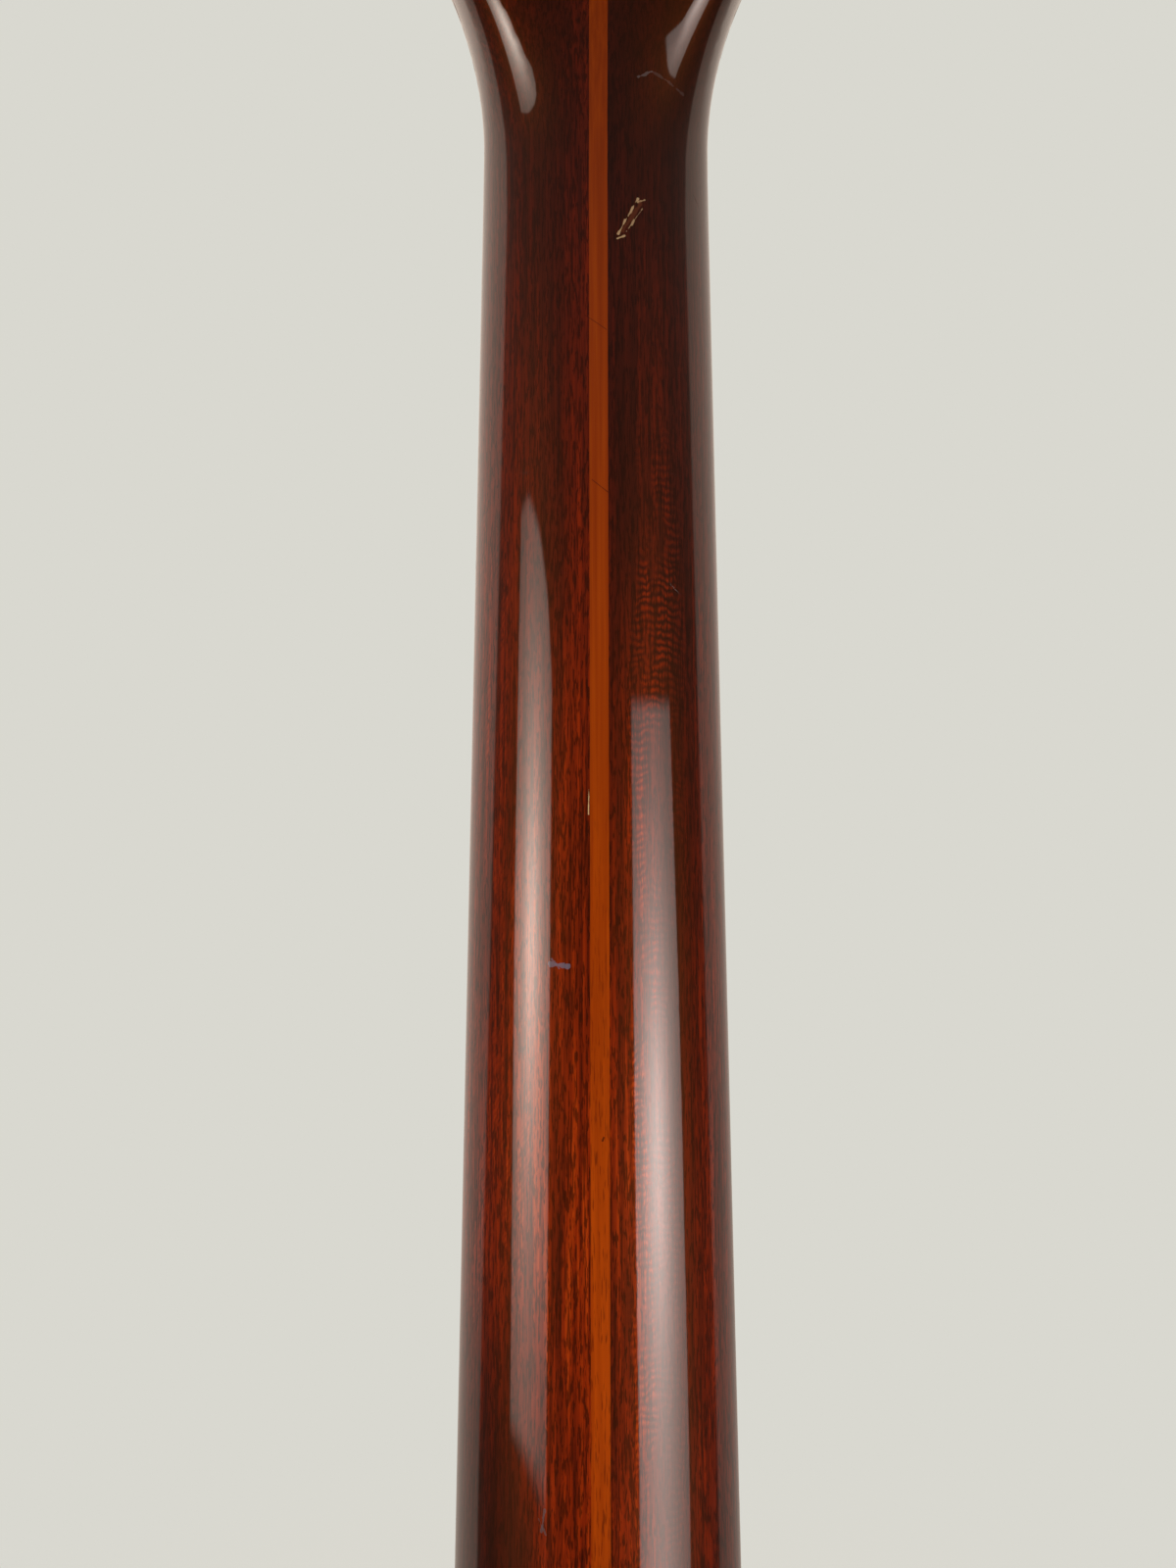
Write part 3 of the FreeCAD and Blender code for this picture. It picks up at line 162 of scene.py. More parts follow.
def ear_centres():
    """The centres of the flare's arc and the ear's arc, and the height where they meet."""
    flare = Vector((HALF_AT_NUT + FLARE_RADIUS, -NUT_LENGTH))
    reach = FLARE_RADIUS + EAR_RADIUS
    ear_x = EAR_HALF_WIDTH - EAR_RADIUS
    ear = Vector((ear_x, flare.y + math.sqrt(reach**2 - (flare.x - ear_x) ** 2)))
    meeting = flare.y + (ear.y - flare.y) * FLARE_RADIUS / reach
    return flare, ear, meeting


FLARE, EAR, EAR_START = ear_centres()
EAR_END = EAR.y - EAR_RADIUS * math.sin(SIDE_ANGLE)


def half_width(run):
    """Half the width of the wood at a run."""
    if run <= -NUT_LENGTH:
        growth = (WIDTH_AT_12 / 2 - HALF_AT_NUT) / fret_distance(12)
        return HALF_AT_NUT + growth * (-NUT_LENGTH - run)
    if run <= EAR_START:
        return FLARE.x - math.sqrt(FLARE_RADIUS**2 - (run - FLARE.y) ** 2)
    if run <= EAR_END:
        return EAR.x + math.sqrt(EAR_RADIUS**2 - (run - EAR.y) ** 2)
    edge = EAR.x + EAR_RADIUS * math.cos(SIDE_ANGLE)
    return edge + (run - EAR_END) * math.tan(SIDE_ANGLE)


def neck_depth(height):
    """The wood's depth behind the glue plane, with the heel's swell."""
    first_z = NUT_Z - fret_distance(1)
    twelfth_z = NUT_Z - fret_distance(12)
    slope = (DEPTH_AT_12 - DEPTH_AT_1) / (first_z - twelfth_z)
    shaft = DEPTH_AT_12 - slope * (height - twelfth_z)
    return shaft + HEEL_SWELL * math.exp(-((max(height, 0.0) / HEEL_SPREAD) ** HEEL_POWER))


def section_plane(run):
    """Where a section stands and how far it leans back."""
    radius = BEND_REACH / math.tan(HEAD_ANGLE / 2)
    if run <= -BEND_REACH:
        return GLUE_Y, BEND_Z + run, 0.0
    if run >= BEND_REACH:
        return GLUE_Y + math.sin(HEAD_ANGLE) * run, BEND_Z + math.cos(HEAD_ANGLE) * run, HEAD_ANGLE
    lean = HEAD_ANGLE * (run + BEND_REACH) / (2 * BEND_REACH)
    y = GLUE_Y + radius * (1 - math.cos(lean))
    z = BEND_Z - BEND_REACH + radius * math.sin(lean)
    return y, z, lean


def quarter_section(half, depth, blend):
    """Sideways and backward places from the side of a section to the middle of its back."""
    share = np.linspace(0, 1, QUARTER_STEPS + 1)
    turn = np.pi / 2 * share
    edge_turn = np.pi / 2 * np.clip((share - SIDE_SHARE) / EDGE_SHARE, 0, 1)
    inward = np.clip((share - SIDE_SHARE - EDGE_SHARE) / (1 - SIDE_SHARE - EDGE_SHARE), 0, 1)
    flat_x = (half - EDGE_RADIUS + EDGE_RADIUS * np.cos(edge_turn)) - (half - EDGE_RADIUS) * inward
    rise = (depth - EDGE_RADIUS) * np.clip(share / SIDE_SHARE, 0, 1)
    flat_y = rise + EDGE_RADIUS * np.sin(edge_turn)
    sideways = (1 - blend) * half * np.cos(turn) + blend * flat_x
    backward = (1 - blend) * depth * np.sin(turn) + blend * flat_y
    return sideways, backward


def form_section(run):
    """One section of the neck's back, from side to side, with its straight stock in front."""
    y, z, lean = section_plane(run)
    settle = smooth_step(run, -BEND_REACH, PLATE_START)
    depth = neck_depth(BEND_Z + run) * (1 - settle) + HEAD_THICKNESS * settle
    half = half_width(run)
    sideways, backward = quarter_section(half, depth, smooth_step(run, BLEND_START, PLATE_START))
    front = -np.linspace(FRONT_STOCK, FRONT_STOCK / FRONT_STEPS, FRONT_STEPS)
    sideways = np.concatenate([np.full(FRONT_STEPS, half), sideways])
    backward = np.concatenate([front, backward])
    sideways = np.concatenate([sideways, -sideways[-2::-1]])
    backward = np.concatenate([backward, backward[-2::-1]])
    deep = y + backward * math.cos(lean)
    high = z - backward * math.sin(lean)
    return np.stack([sideways, deep, high], axis=1) * MM


class Form:
    """The carved surface as a fine grid that gives the nearest point and its normal."""

    def __init__(self):
        runs = np.arange(-BEND_Z, PLATE_START + FORM_STEP / 2, FORM_STEP)
        grid = np.stack([form_section(run) for run in runs])
        normals = np.cross(np.gradient(grid, axis=0), np.gradient(grid, axis=1))
        normals /= np.linalg.norm(normals, axis=2, keepdims=True)
        middle = grid.shape[1] // 2
        if normals[0, middle, 1] < 0:
            normals = -normals
        rows, columns = grid.shape[:2]
        corner = np.arange(rows * columns).reshape(rows, columns)
        quads = np.stack([corner[:-1, :-1], corner[:-1, 1:], corner[1:, 1:], corner[1:, :-1]], axis=2)
        self.points = [Vector(point) for point in grid.reshape(-1, 3)]
        self.normals = [Vector(normal) for normal in normals.reshape(-1, 3)]
        self.quads = [tuple(int(index) for index in quad) for quad in quads.reshape(-1, 4)]
        self.tree = BVHTree.FromPolygons(self.points, self.quads)

    def nearest(self, place):
        """The nearest point of the form, its normal there and how far off it is."""
        point, _, quad, distance = self.tree.find_nearest(place)
        corners = self.quads[quad]
        weights = poly_3d_calc([self.points[index] for index in corners], point)
        normal = Vector((0.0, 0.0, 0.0))
        for weight, index in zip(weights, corners):
            normal += self.normals[index] * weight
        return point, normal.normalized(), distance


# Points closer than the weld are one point. A face is skin if it lies this near to the form and
# faces this nearly the same way, and its edges are cut until they are no longer than the fine
# edge. A CAD normal is read a little inside its face, so that it isn't the next face's.
WELD = 1e-6
ON_FORM = 0.6 * MM
ALIGNED = 0.85
FINE_EDGE = 2.4 * MM
FINE_PASSES = 6
TOWARDS_MIDDLE = 0.02


class CadNormals:
    """The corner normals of a CAD mesh, for any place on it."""

    def __init__(self, mesh):
        self.places = [vertex.co.copy() for vertex in mesh.vertices]
        self.faces = [tuple(face.vertices) for face in mesh.polygons]
        self.corners = [
            [mesh.corner_normals[loop].vector.copy() for loop in face.loop_indices]
            for face in mesh.polygons
        ]
        self.tree = BVHTree.FromPolygons(self.places, self.faces)

    def at(self, place):
        """The normal at the mesh's nearest point."""
        point, _, face, _ = self.tree.find_nearest(place)
        weights = poly_3d_calc([self.places[index] for index in self.faces[face]], point)
        normal = Vector((0.0, 0.0, 0.0))
        for weight, corner in zip(weights, self.corners[face]):
            normal += corner * weight
        return normal.normalized()


def divide_skin(mesh, form):
    """Marks the faces that lie on the form and cuts their long edges. Returns the marks' layer."""
    mark = mesh.faces.layers.int.new("skin")
    for face in mesh.faces:
        _, normal, distance = form.nearest(face.calc_center_median())
        face[mark] = int(distance < ON_FORM and face.normal.dot(normal) > ALIGNED)
    for _ in range(FINE_PASSES):
        long_edges = {
            edge
            for face in mesh.faces
            if face[mark]
            for edge in face.edges
            if edge.calc_length() > FINE_EDGE
        }
        if not long_edges:
            break
        bmesh.ops.subdivide_edges(mesh, edges=sorted(long_edges, key=lambda edge: edge.index), cuts=1)
        bmesh.ops.triangulate(mesh, faces=[face for face in mesh.faces if len(face.verts) > 3])
        mesh.edges.index_update()
    return mark


def refined_piece(node, form):
    """A copy of a neck lamination whose outer skin follows the form closely."""
    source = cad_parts[node].data
    cad_normals = CadNormals(source)
    mesh = bmesh.new()
    mesh.from_mesh(source)
    bmesh.ops.remove_doubles(mesh, verts=mesh.verts, dist=WELD)
    mesh.edges.index_update()
    mark = divide_skin(mesh, form)
    normals = []
    moved = {}
    for face in mesh.faces:
        middle = face.calc_center_median()
        for loop in face.loops:
            vertex = loop.vert
            if not face[mark]:
                normals.append(cad_normals.at(vertex.co.lerp(middle, TOWARDS_MIDDLE)))
                continue
            if vertex not in moved:
                moved[vertex] = form.nearest(vertex.co)
            normals.append(moved[vertex][1])
    for vertex, (point, _, distance) in moved.items():
        if distance < ON_FORM:
            vertex.co = point
    fine = bpy.data.meshes.new(f"fine_{node}")
    mesh.to_mesh(fine)
    mesh.free()
    fine.shade_smooth()
    fine.normals_split_custom_set(normals)
    piece = bpy.data.objects.new(f"fine_{node}", fine)
    bpy.context.scene.collection.objects.link(piece)
    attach(piece, "neck")
    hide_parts(node)
    return piece


NECK_WOODS = {
    "neck_centre_strip": "maple",
    "neck_bass_half": "mahogany",
    "neck_treble_half": "mahogany",
    "headstock_ear_bass": "mahogany",
    "headstock_ear_treble": "mahogany",
}
neck_form = Form()
fine_pieces = {}
for node, slot in NECK_WOODS.items():
    fine_pieces[node] = refined_piece(node, neck_form)

# ---------------------------------------------------------------- node graphs


def tint(red, green, blue):
    """A display colour, 0 to 255, as the linear colour that the shaders take."""

    def linear(value):
        share = value / 255
        if share <= 0.04045:
            return share / 12.92
        return ((share + 0.055) / 1.055) ** 2.4

    return (linear(red), linear(green), linear(blue), 1.0)


class Graph:
    """A node tree with short calls for the nodes that the materials share."""

    def __init__(self, tree):
        self.tree = tree
        self.space = None

    def node(self, kind, **settings):
        """A new node with its settings."""
        made = self.tree.nodes.new(kind)
        for key, value in settings.items():
            setattr(made, key, value)
        return made

    def feed(self, socket, value):
        """Links a socket to an output, or sets it to a constant."""
        if hasattr(value, "links"):
            self.tree.links.new(value, socket)
        else:
            socket.default_value = value

    def math(self, operation, first, second=0.0, clamp=False):
        """A sum on one or two values."""
        made = self.node("ShaderNodeMath", operation=operation, use_clamp=clamp)
        self.feed(made.inputs[0], first)
        self.feed(made.inputs[1], second)
        return made.outputs[0]

    def product(self, *values):
        """Every value multiplied together."""
        result = values[0]
        for value in values[1:]:
            result = self.math("MULTIPLY", result, value)
        return result

    def ramp(self, value, low, high, out_low=0.0, out_high=1.0, smooth=True):
        """Maps a value from one range to another, with soft ends, and holds it there."""
        made = self.node("ShaderNodeMapRange")
        made.interpolation_type = "SMOOTHSTEP" if smooth else "LINEAR"
        for name, amount in (
            ("Value", value),
            ("From Min", low),
            ("From Max", high),
            ("To Min", out_low),
            ("To Max", out_high),
        ):
            self.feed(made.inputs[name], amount)
        return made.outputs["Result"]

    def mix(self, share, first, second):
        """The first colour where the share is nought and the second where it is one."""
        made = self.node("ShaderNodeMix", data_type="RGBA")
        self.feed(made.inputs[0], share)
        self.feed(made.inputs[6], first)
        self.feed(made.inputs[7], second)
        return made.outputs[2]

    def scaled(self, colour, amount):
        """A colour made lighter or darker by an amount."""
        made = self.node("ShaderNodeVectorMath", operation="SCALE")
        self.feed(made.inputs[0], colour)
        self.feed(made.inputs["Scale"], amount)
        return made.outputs[0]

    def axes(self):
        """The object coordinates as a vector and as its three parts, in metres."""
        if self.space is None:
            where = self.node("ShaderNodeTexCoord").outputs["Object"]
            split = self.node("ShaderNodeSeparateXYZ")
            self.feed(split.inputs[0], where)
            self.space = (where, *split.outputs)
        return self.space

    def stretched(self, x, y, z, shift=(0.0, 0.0, 0.0)):
        """The object coordinates scaled along each axis, which stretches a texture."""
        made = self.node("ShaderNodeMapping")
        self.feed(made.inputs["Vector"], self.axes()[0])
        self.feed(made.inputs["Location"], shift)
        self.feed(made.inputs["Scale"], (x, y, z))
        return made.outputs[0]

    def noise(self, where, detail=2.0, roughness=0.5, distortion=0.0):
        """A cloudy noise from nought to one at the given coordinates."""
        made = self.node("ShaderNodeTexNoise")
        self.feed(made.inputs["Vector"], where)
        self.feed(made.inputs["Scale"], 1.0)
        self.feed(made.inputs["Detail"], detail)
        self.feed(made.inputs["Roughness"], roughness)
        self.feed(made.inputs["Distortion"], distortion)
        return made.outputs["Fac"]

    def colours(self, value, *stops):
        """A colour ramp from (place, colour) stops."""
        made = self.node("ShaderNodeValToRGB")
        elements = made.color_ramp.elements
        elements[0].position, elements[0].color = stops[0]
        elements[1].position, elements[1].color = stops[-1]
        for place, colour in stops[1:-1]:
            elements.new(place).color = colour
        self.feed(made.inputs[0], value)
        return made.outputs[0]

    def greys(self, value, *stops):
        """A ramp of plain amounts from (place, amount) stops."""
        return self.colours(value, *[(place, (grey, grey, grey, 1.0)) for place, grey in stops])

    def bump(self, height, strength, distance):
        """A surface normal roughened by a height."""
        made = self.node("ShaderNodeBump")
        self.feed(made.inputs["Strength"], strength)
        self.feed(made.inputs["Distance"], distance)
        self.feed(made.inputs["Height"], height)
        return made.outputs[0]

    def line_distance(self, start, end):
        """How far a point of the neck's back is from a line between two (x, z) places."""
        _, x, _, z = self.axes()
        along = Vector(end) - Vector(start)
        from_x = self.math("SUBTRACT", x, start[0])
        from_z = self.math("SUBTRACT", z, start[1])
        reach_x = self.math("MULTIPLY", from_x, along.x / along.length_squared)
        reach_z = self.math("MULTIPLY", from_z, along.y / along.length_squared)
        share = self.math("ADD", reach_x, reach_z, clamp=True)
        off_x = self.math("SUBTRACT", from_x, self.math("MULTIPLY", share, along.x))
        off_z = self.math("SUBTRACT", from_z, self.math("MULTIPLY", share, along.y))
        squares = self.math("ADD", self.product(off_x, off_x), self.product(off_z, off_z))
        return self.math("SQRT", squares)


def new_material(name):
    """A material's graph and its main shader."""
    material = bpy.data.materials.new(name)
    material.use_nodes = True
    graph = Graph(material.node_tree)
    shader = material.node_tree.nodes["Principled BSDF"]
    return material, graph, shader


def set_shader(graph, shader, **sockets):
    """Sets or links the shader's sockets, named with underscores for spaces."""
    for name, value in sockets.items():
        graph.feed(shader.inputs[name.replace("_", " ")], value)


def paint(material, *nodes):
    """Puts a material in every slot of the named CAD nodes, or of the pieces that replace them."""
    for name in nodes:
        mesh = fine_pieces.get(name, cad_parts[name]).data
        if not mesh.materials:
            mesh.materials.append(material)
        for index in range(len(mesh.materials)):
            mesh.materials[index] = material


# ---------------------------------------------------------------- lacquered neck woods

# Clear lacquer over a sheen that the stained wood tints.
LACQUER = {"Coat_Weight": 1.0, "Coat_Roughness": 0.02, "Coat_IOR": 1.55}
WOOD_SHEEN = {
    "Roughness": 0.42,
    "Specular_IOR_Level": 0.5,
    "Specular_Tint": (1.0, 0.27, 0.06, 1.0),
}

# How light the wood is across the neck, by millimetres from its middle, near the nut and in the
# lower half of the neck. In the lower half, the light band 10 mm out on the treble side is partly
# a painted sheen under the treble soft box's highlight. One figure turns into the other between two
# heights below the nut, and the stripes wander sideways by up to this much.
FIGURE_REACH = 26.0
FIGURE_CHANGE = (70.0, 145.0)
FIGURE_WANDER = 0.8 * MM
NUT_FIGURE = (
    (-21.0, 0.50),
    (-18.5, 0.64),
    (-16.0, 0.42),
    (-12.4, 0.38),
    (-9.6, 0.74),
    (-7.2, 0.56),
    (-5.4, 0.34),
    (-2.7, 0.42),
    (1.6, 1.00),
    (4.4, 0.94),
    (7.0, 0.53),
    (9.5, 0.51),
    (12.5, 0.72),
    (15.5, 0.88),
    (18.5, 0.86),
    (22.0, 0.90),
)
LOWER_FIGURE_AND_SHEEN = (
    (-21.5, 0.50),
    (-18.6, 0.76),
    (-16.4, 0.54),
    (-12.8, 0.24),
    (-9.6, 0.60),
    (-6.0, 0.98),
    (-2.7, 0.76),
    (1.6, 1.04),
    (4.2, 0.96),
    (7.2, 0.84),
    # Lighter partly for the grain and partly as a painted sheen under the treble soft box's highlight.
    (10.0, 1.08),
    (14.0, 0.88),
    (18.0, 0.78),
    (21.5, 0.80),
)
# How much of the wood shows through the stain, by millimetres below the nut.
BURST_REACH = (-40.0, 400.0)
BURST = (
    (-40.0, 0.24),
    (5.0, 0.28),
    (25.0, 0.42),
    (75.0, 0.56),
    (105.0, 0.75),
    (155.0, 0.86),
    (185.0, 1.00),
    (250.0, 0.82),
    (330.0, 0.45),
    (400.0, 0.34),
)


def burst_shade(graph):
    """The stain's shading: dark at the headstock, clear past mid-neck, darker towards the heel.

    It is darker still beside the heel on the treble side and above the nut on the bass side.
    """
    _, x, _, z = graph.axes()
    near, far = BURST_REACH
    place = graph.ramp(z, below_nut(near), below_nut(far), smooth=False)
    stops = [((distance - near) / (far - near), light) for distance, light in BURST]
    shade = graph.greys(place, *stops)
    heel = graph.product(graph.ramp(x, 6 * MM, 15 * MM), graph.ramp(z, below_nut(185), below_nut(245)))
    head = graph.product(graph.ramp(x, -4 * MM, -9 * MM), graph.ramp(z, below_nut(40), below_nut(10)))
    heel_shade = graph.ramp(heel, 0.0, 1.0, 1.0, 0.3, smooth=False)
    head_shade = graph.ramp(head, 0.0, 1.0, 1.0, 0.6, smooth=False)
    return graph.product(shade, heel_shade, head_shade)


def figure_bands_and_sheen(graph):
    """The broad light and dark stripes along the neck, which wander a little, with a painted sheen in
    the lower half's light band under the treble highlight.
    """
    _, x, _, z = graph.axes()
    wander = graph.noise(graph.stretched(6, 6, 9, (4.0, 0, 0)), detail=2.0)
    shift = graph.ramp(wander, 0.25, 0.75, -FIGURE_WANDER, FIGURE_WANDER, smooth=False)
    wandering = graph.math("ADD", x, shift)
    place = graph.ramp(wandering, -FIGURE_REACH * MM, FIGURE_REACH * MM, smooth=False)
    figures = []
    for figure in (NUT_FIGURE, LOWER_FIGURE_AND_SHEEN):
        stops = [((FIGURE_REACH + side) / (2 * FIGURE_REACH), light) for side, light in figure]
        figures.append(graph.greys(place, *stops))
    start, end = FIGURE_CHANGE
    return graph.mix(graph.ramp(z, below_nut(start), below_nut(end)), *figures)


# The ripples' phase: radians a metre along the neck, radians of wander, and radians a square
# metre away from the line that they arch about.
RIPPLE_RATE = 4500.0
RIPPLE_WANDER = 20.0
RIPPLE_ARCH = 1.6e5
RIPPLE_LINE = -9.5 * MM


def ripple_figure(graph):
    """The short cross-grain waves, strong in the bass half and faint at the treble edge."""
    _, x, _, z = graph.axes()
    wander = graph.noise(graph.stretched(330, 330, 150), detail=3.0, roughness=0.6)
    offset = graph.math("SUBTRACT", x, RIPPLE_LINE)
    arch = graph.product(offset, offset, RIPPLE_ARCH)
    along = graph.math("MULTIPLY", z, RIPPLE_RATE)
    phase = graph.math("ADD", along, graph.math("MULTIPLY", wander, RIPPLE_WANDER))
    wave = graph.math("SINE", graph.math("ADD", phase, arch))
    cloud = graph.noise(graph.stretched(260, 260, 45, (0, 5.0, 0)), detail=2.0)
    patch = graph.ramp(cloud, 0.40, 0.62)
    inner = graph.ramp(x, -4.0 * MM, -6.5 * MM)
    outer = graph.ramp(x, -16.0 * MM, -12.0 * MM)
    top = graph.ramp(z, below_nut(45), below_nut(85))
    treble = graph.ramp(x, 9.0 * MM, 13.0 * MM, 0.0, 0.25)
    side = graph.math("MAXIMUM", graph.math("MULTIPLY", inner, outer), treble)
    reach = graph.product(side, top, patch)
    fade = graph.ramp(z, below_nut(120), below_nut(95), 0.42, 0.85)
    return graph.math("ADD", graph.product(wave, reach, fade), 1.0)


# The share of its light that the stain leaves to the mahogany, to its pores and to the strip.
STAIN = 0.58
PORE_SHADE = 0.16
STRIP_STAIN = 0.9

PALE_CHIP = tint(204, 168, 124)
BARE_CORE = tint(92, 44, 24)
GREY_SCUFF = tint(92, 84, 84)
CREAM_CHIP = tint(238, 205, 138)
BLUE_SMEAR = tint(116, 122, 142)
DARK_LINE = tint(26, 9, 4)
# Each mark: its two ends, in millimetres from the middle and below the nut's front, its half
# width, how ragged it is, its colour and how strongly it covers the wood.
WEAR = (
    ((-3.4, 22.4), (-6.9, 15.8), 0.14, 0.55, PALE_CHIP, 0.8),
    ((-4.9, 21.8), (-8.0, 17.0), 0.12, 0.55, PALE_CHIP, 0.7),
    ((-3.3, 23.2), (-4.6, 22.6), 0.16, 0.40, PALE_CHIP, 0.8),
    ((-6.8, 16.4), (-8.1, 15.8), 0.14, 0.40, PALE_CHIP, 0.7),
    ((-4.3, 21.6), (-7.4, 16.6), 0.40, 0.60, BARE_CORE, 0.75),
    ((-7.0, -5.2), (-9.4, -6.4), 0.20, 0.50, GREY_SCUFF, 0.7),
    ((-9.4, -6.4), (-15.0, -4.2), 0.16, 0.60, GREY_SCUFF, 0.3),
    ((1.78, 118.6), (1.84, 122.8), 0.09, 0.16, CREAM_CHIP, 1.0),
    ((5.4, 148.2), (8.3, 147.8), 0.42, 0.80, BLUE_SMEAR, 0.7),
    ((6.8, 148.6), (8.0, 147.0), 0.24, 0.50, BLUE_SMEAR, 0.5),
    ((9.2, 236.6), (9.7, 240.0), 0.22, 0.40, GREY_SCUFF, 0.7),
    ((10.2, 238.0), (9.0, 240.4), 0.16, 0.40, GREY_SCUFF, 0.6),
    ((2.4, 36.8), (-1.4, 39.4), 0.09, 0.10, DARK_LINE, 0.6),
    ((1.2, 65.6), (-1.6, 67.8), 0.09, 0.10, DARK_LINE, 0.6),
    ((12.6, 161.8), (12.9, 162.6), 0.16, 0.10, DARK_LINE, 0.9),
    ((-0.6, 176.4), (-0.4, 176.9), 0.15, 0.10, DARK_LINE, 0.8),
)


def worn(graph, wood):
    """The wood's colour with the chips, scuffs and scratches of the neck's back."""
    ragged = graph.noise(graph.stretched(900, 900, 500, (7.0, 0, 0)), detail=3.0, roughness=0.6)
    unevenness = graph.math("SUBTRACT", ragged, 0.5)
    for start, end, width, rough, colour, cover in WEAR:
        ends = [(x * MM, below_nut(distance)) for x, distance in (start, end)]
        distance = graph.line_distance(*ends)
        edge = graph.math("ADD", distance, graph.math("MULTIPLY", unevenness, 2 * rough * MM))
        mask = graph.ramp(edge, width * MM, 0.7 * width * MM, 0.0, cover)
        wood = graph.mix(mask, wood, colour)
    return wood


def make_mahogany():
    """Red-brown mahogany with its streaks, stripes, ripples, shaded stain and pores, and a painted
    sheen in one lower stripe under the treble highlight.
    """
    material, graph, shader = new_material("stained_mahogany")
    streak = graph.noise(graph.stretched(1300, 1300, 16, (3.0, 0, 0)), detail=5.0, roughness=0.66)
    light = graph.ramp(streak, 0.32, 0.68, 0.34, 1.80, smooth=False)
    figure = graph.product(light, figure_bands_and_sheen(graph), ripple_figure(graph))
    light = graph.product(figure, burst_shade(graph), STAIN)
    wood = graph.colours(
        light,
        (0.0, tint(12, 3, 2)),
        (0.12, tint(57, 11, 5)),
        (0.34, tint(106, 24, 4)),
        (0.60, tint(150, 40, 4)),
        (0.85, tint(192, 66, 8)),
    )
    # Pores: dark lines along the grain, most of them short.
    pores = graph.noise(graph.stretched(3000, 3000, 330), detail=2.0, roughness=0.6)
    long_pores = graph.noise(graph.stretched(2500, 2500, 130, (0, 0, 8.0)), detail=2.0, roughness=0.6)
    short = graph.ramp(pores, 0.51, 0.59, 0.0, 0.9)
    long = graph.ramp(long_pores, 0.56, 0.63, 0.0, 0.85)
    wood = graph.mix(graph.math("MAXIMUM", short, long), wood, graph.scaled(wood, PORE_SHADE))
    sunk = graph.bump(pores, 0.05, 0.02 * MM)
    wood = worn(graph, wood)
    set_shader(graph, shader, Base_Color=wood, Coat_Normal=sunk, **WOOD_SHEEN, **LACQUER)
    return material


def make_strip():
    """The amber strip, with dark dashes of grain in its lower half."""
    material, graph, shader = new_material("amber_maple")
    _, _, _, z = graph.axes()
    grain = graph.noise(graph.stretched(1500, 1500, 20), detail=4.0, roughness=0.62)
    wood = graph.colours(
        grain,
        (0.34, tint(174, 64, 2)),
        (0.50, tint(187, 72, 3)),
        (0.66, tint(200, 81, 4)),
    )
    dashes = graph.noise(graph.stretched(3600, 3600, 260), detail=2.0)
    mask = graph.ramp(dashes, 0.54, 0.66, 0.0, 0.6)
    lower = graph.ramp(z, below_nut(100), below_nut(180))
    wood = graph.mix(graph.math("MULTIPLY", mask, lower), wood, tint(84, 22, 2))
    top = graph.ramp(z, below_nut(-30), below_nut(190), 0.44, 1.14, smooth=False)
    heel = graph.ramp(z, below_nut(300), below_nut(215), 0.62, 1.0)
    shaded = graph.scaled(wood, graph.product(top, heel, STRIP_STAIN))
    set_shader(graph, shader, Base_Color=worn(graph, shaded), **WOOD_SHEEN, **LACQUER)
    return material


def make_bare_maple():
    """Raw maple, for the fillet under the fingerboard."""
    material, graph, shader = new_material("bare_maple")
    grain = graph.noise(graph.stretched(1400, 1400, 25), detail=4.0, roughness=0.6)
    wood = graph.colours(grain, (0.35, tint(176, 138, 92)), (0.65, tint(214, 182, 134)))
    set_shader(graph, shader, Base_Color=wood, Roughness=0.6, Specular_IOR_Level=0.3)
    return material


paint(
    make_mahogany(),
    "neck_bass_half",
    "neck_treble_half",
    "headstock_ear_bass",
    "headstock_ear_treble",
)
paint(make_strip(), "neck_centre_strip")
paint(make_bare_maple(), "truss_rod_fillet")

# ---------------------------------------------------------------- fingerboard and headstock face


def make_rosewood():
    """Dark ribbons and fine streaks along the board, with open pores."""
    material, graph, shader = new_material("oiled_rosewood")
    broad = graph.stretched(170, 170, 4, (2.0, 0, 0))
    ribbon = graph.noise(broad, detail=4.0, roughness=0.6, distortion=0.4)
    streak = graph.noise(graph.stretched(1500, 1500, 20), detail=4.0, roughness=0.65)
    grain = graph.math("ADD", graph.product(ribbon, 0.6), graph.product(streak, 0.4))
    wood = graph.colours(
        grain,
        (0.34, tint(34, 20, 16)),
        (0.46, tint(62, 35, 25)),
        (0.56, tint(88, 50, 34)),
        (0.68, tint(114, 70, 46)),
    )
    pores = graph.noise(graph.stretched(4200, 4200, 230), detail=2.0, roughness=0.6)
    wood = graph.mix(graph.ramp(pores, 0.56, 0.64, 0.0, 0.8), wood, tint(20, 12, 10))
    sheen = graph.ramp(streak, 0.3, 0.7, 0.36, 0.52)
    dents = graph.bump(pores, 0.35, 0.05 * MM)
    set_shader(
        graph,
        shader,
        Base_Color=wood,
        Roughness=sheen,
        Specular_IOR_Level=0.4,
        Normal=dents,
    )
    return material


def make_black_veneer():
    """Black wood under lacquer with faint polishing swirls."""
    material, graph, shader = new_material("black_lacquered_veneer")
    grain = graph.noise(graph.stretched(1600, 1600, 30), detail=3.0)
    wood = graph.colours(grain, (0.35, tint(9, 8, 8)), (0.65, tint(24, 21, 19)))
    swirls = graph.noise(graph.stretched(420, 420, 420), detail=4.0, roughness=0.7, distortion=1.2)
    rough = graph.ramp(swirls, 0.35, 0.7, 0.16, 0.34)
    set_shader(graph, shader, Base_Color=wood, Roughness=rough, **LACQUER)
    return material


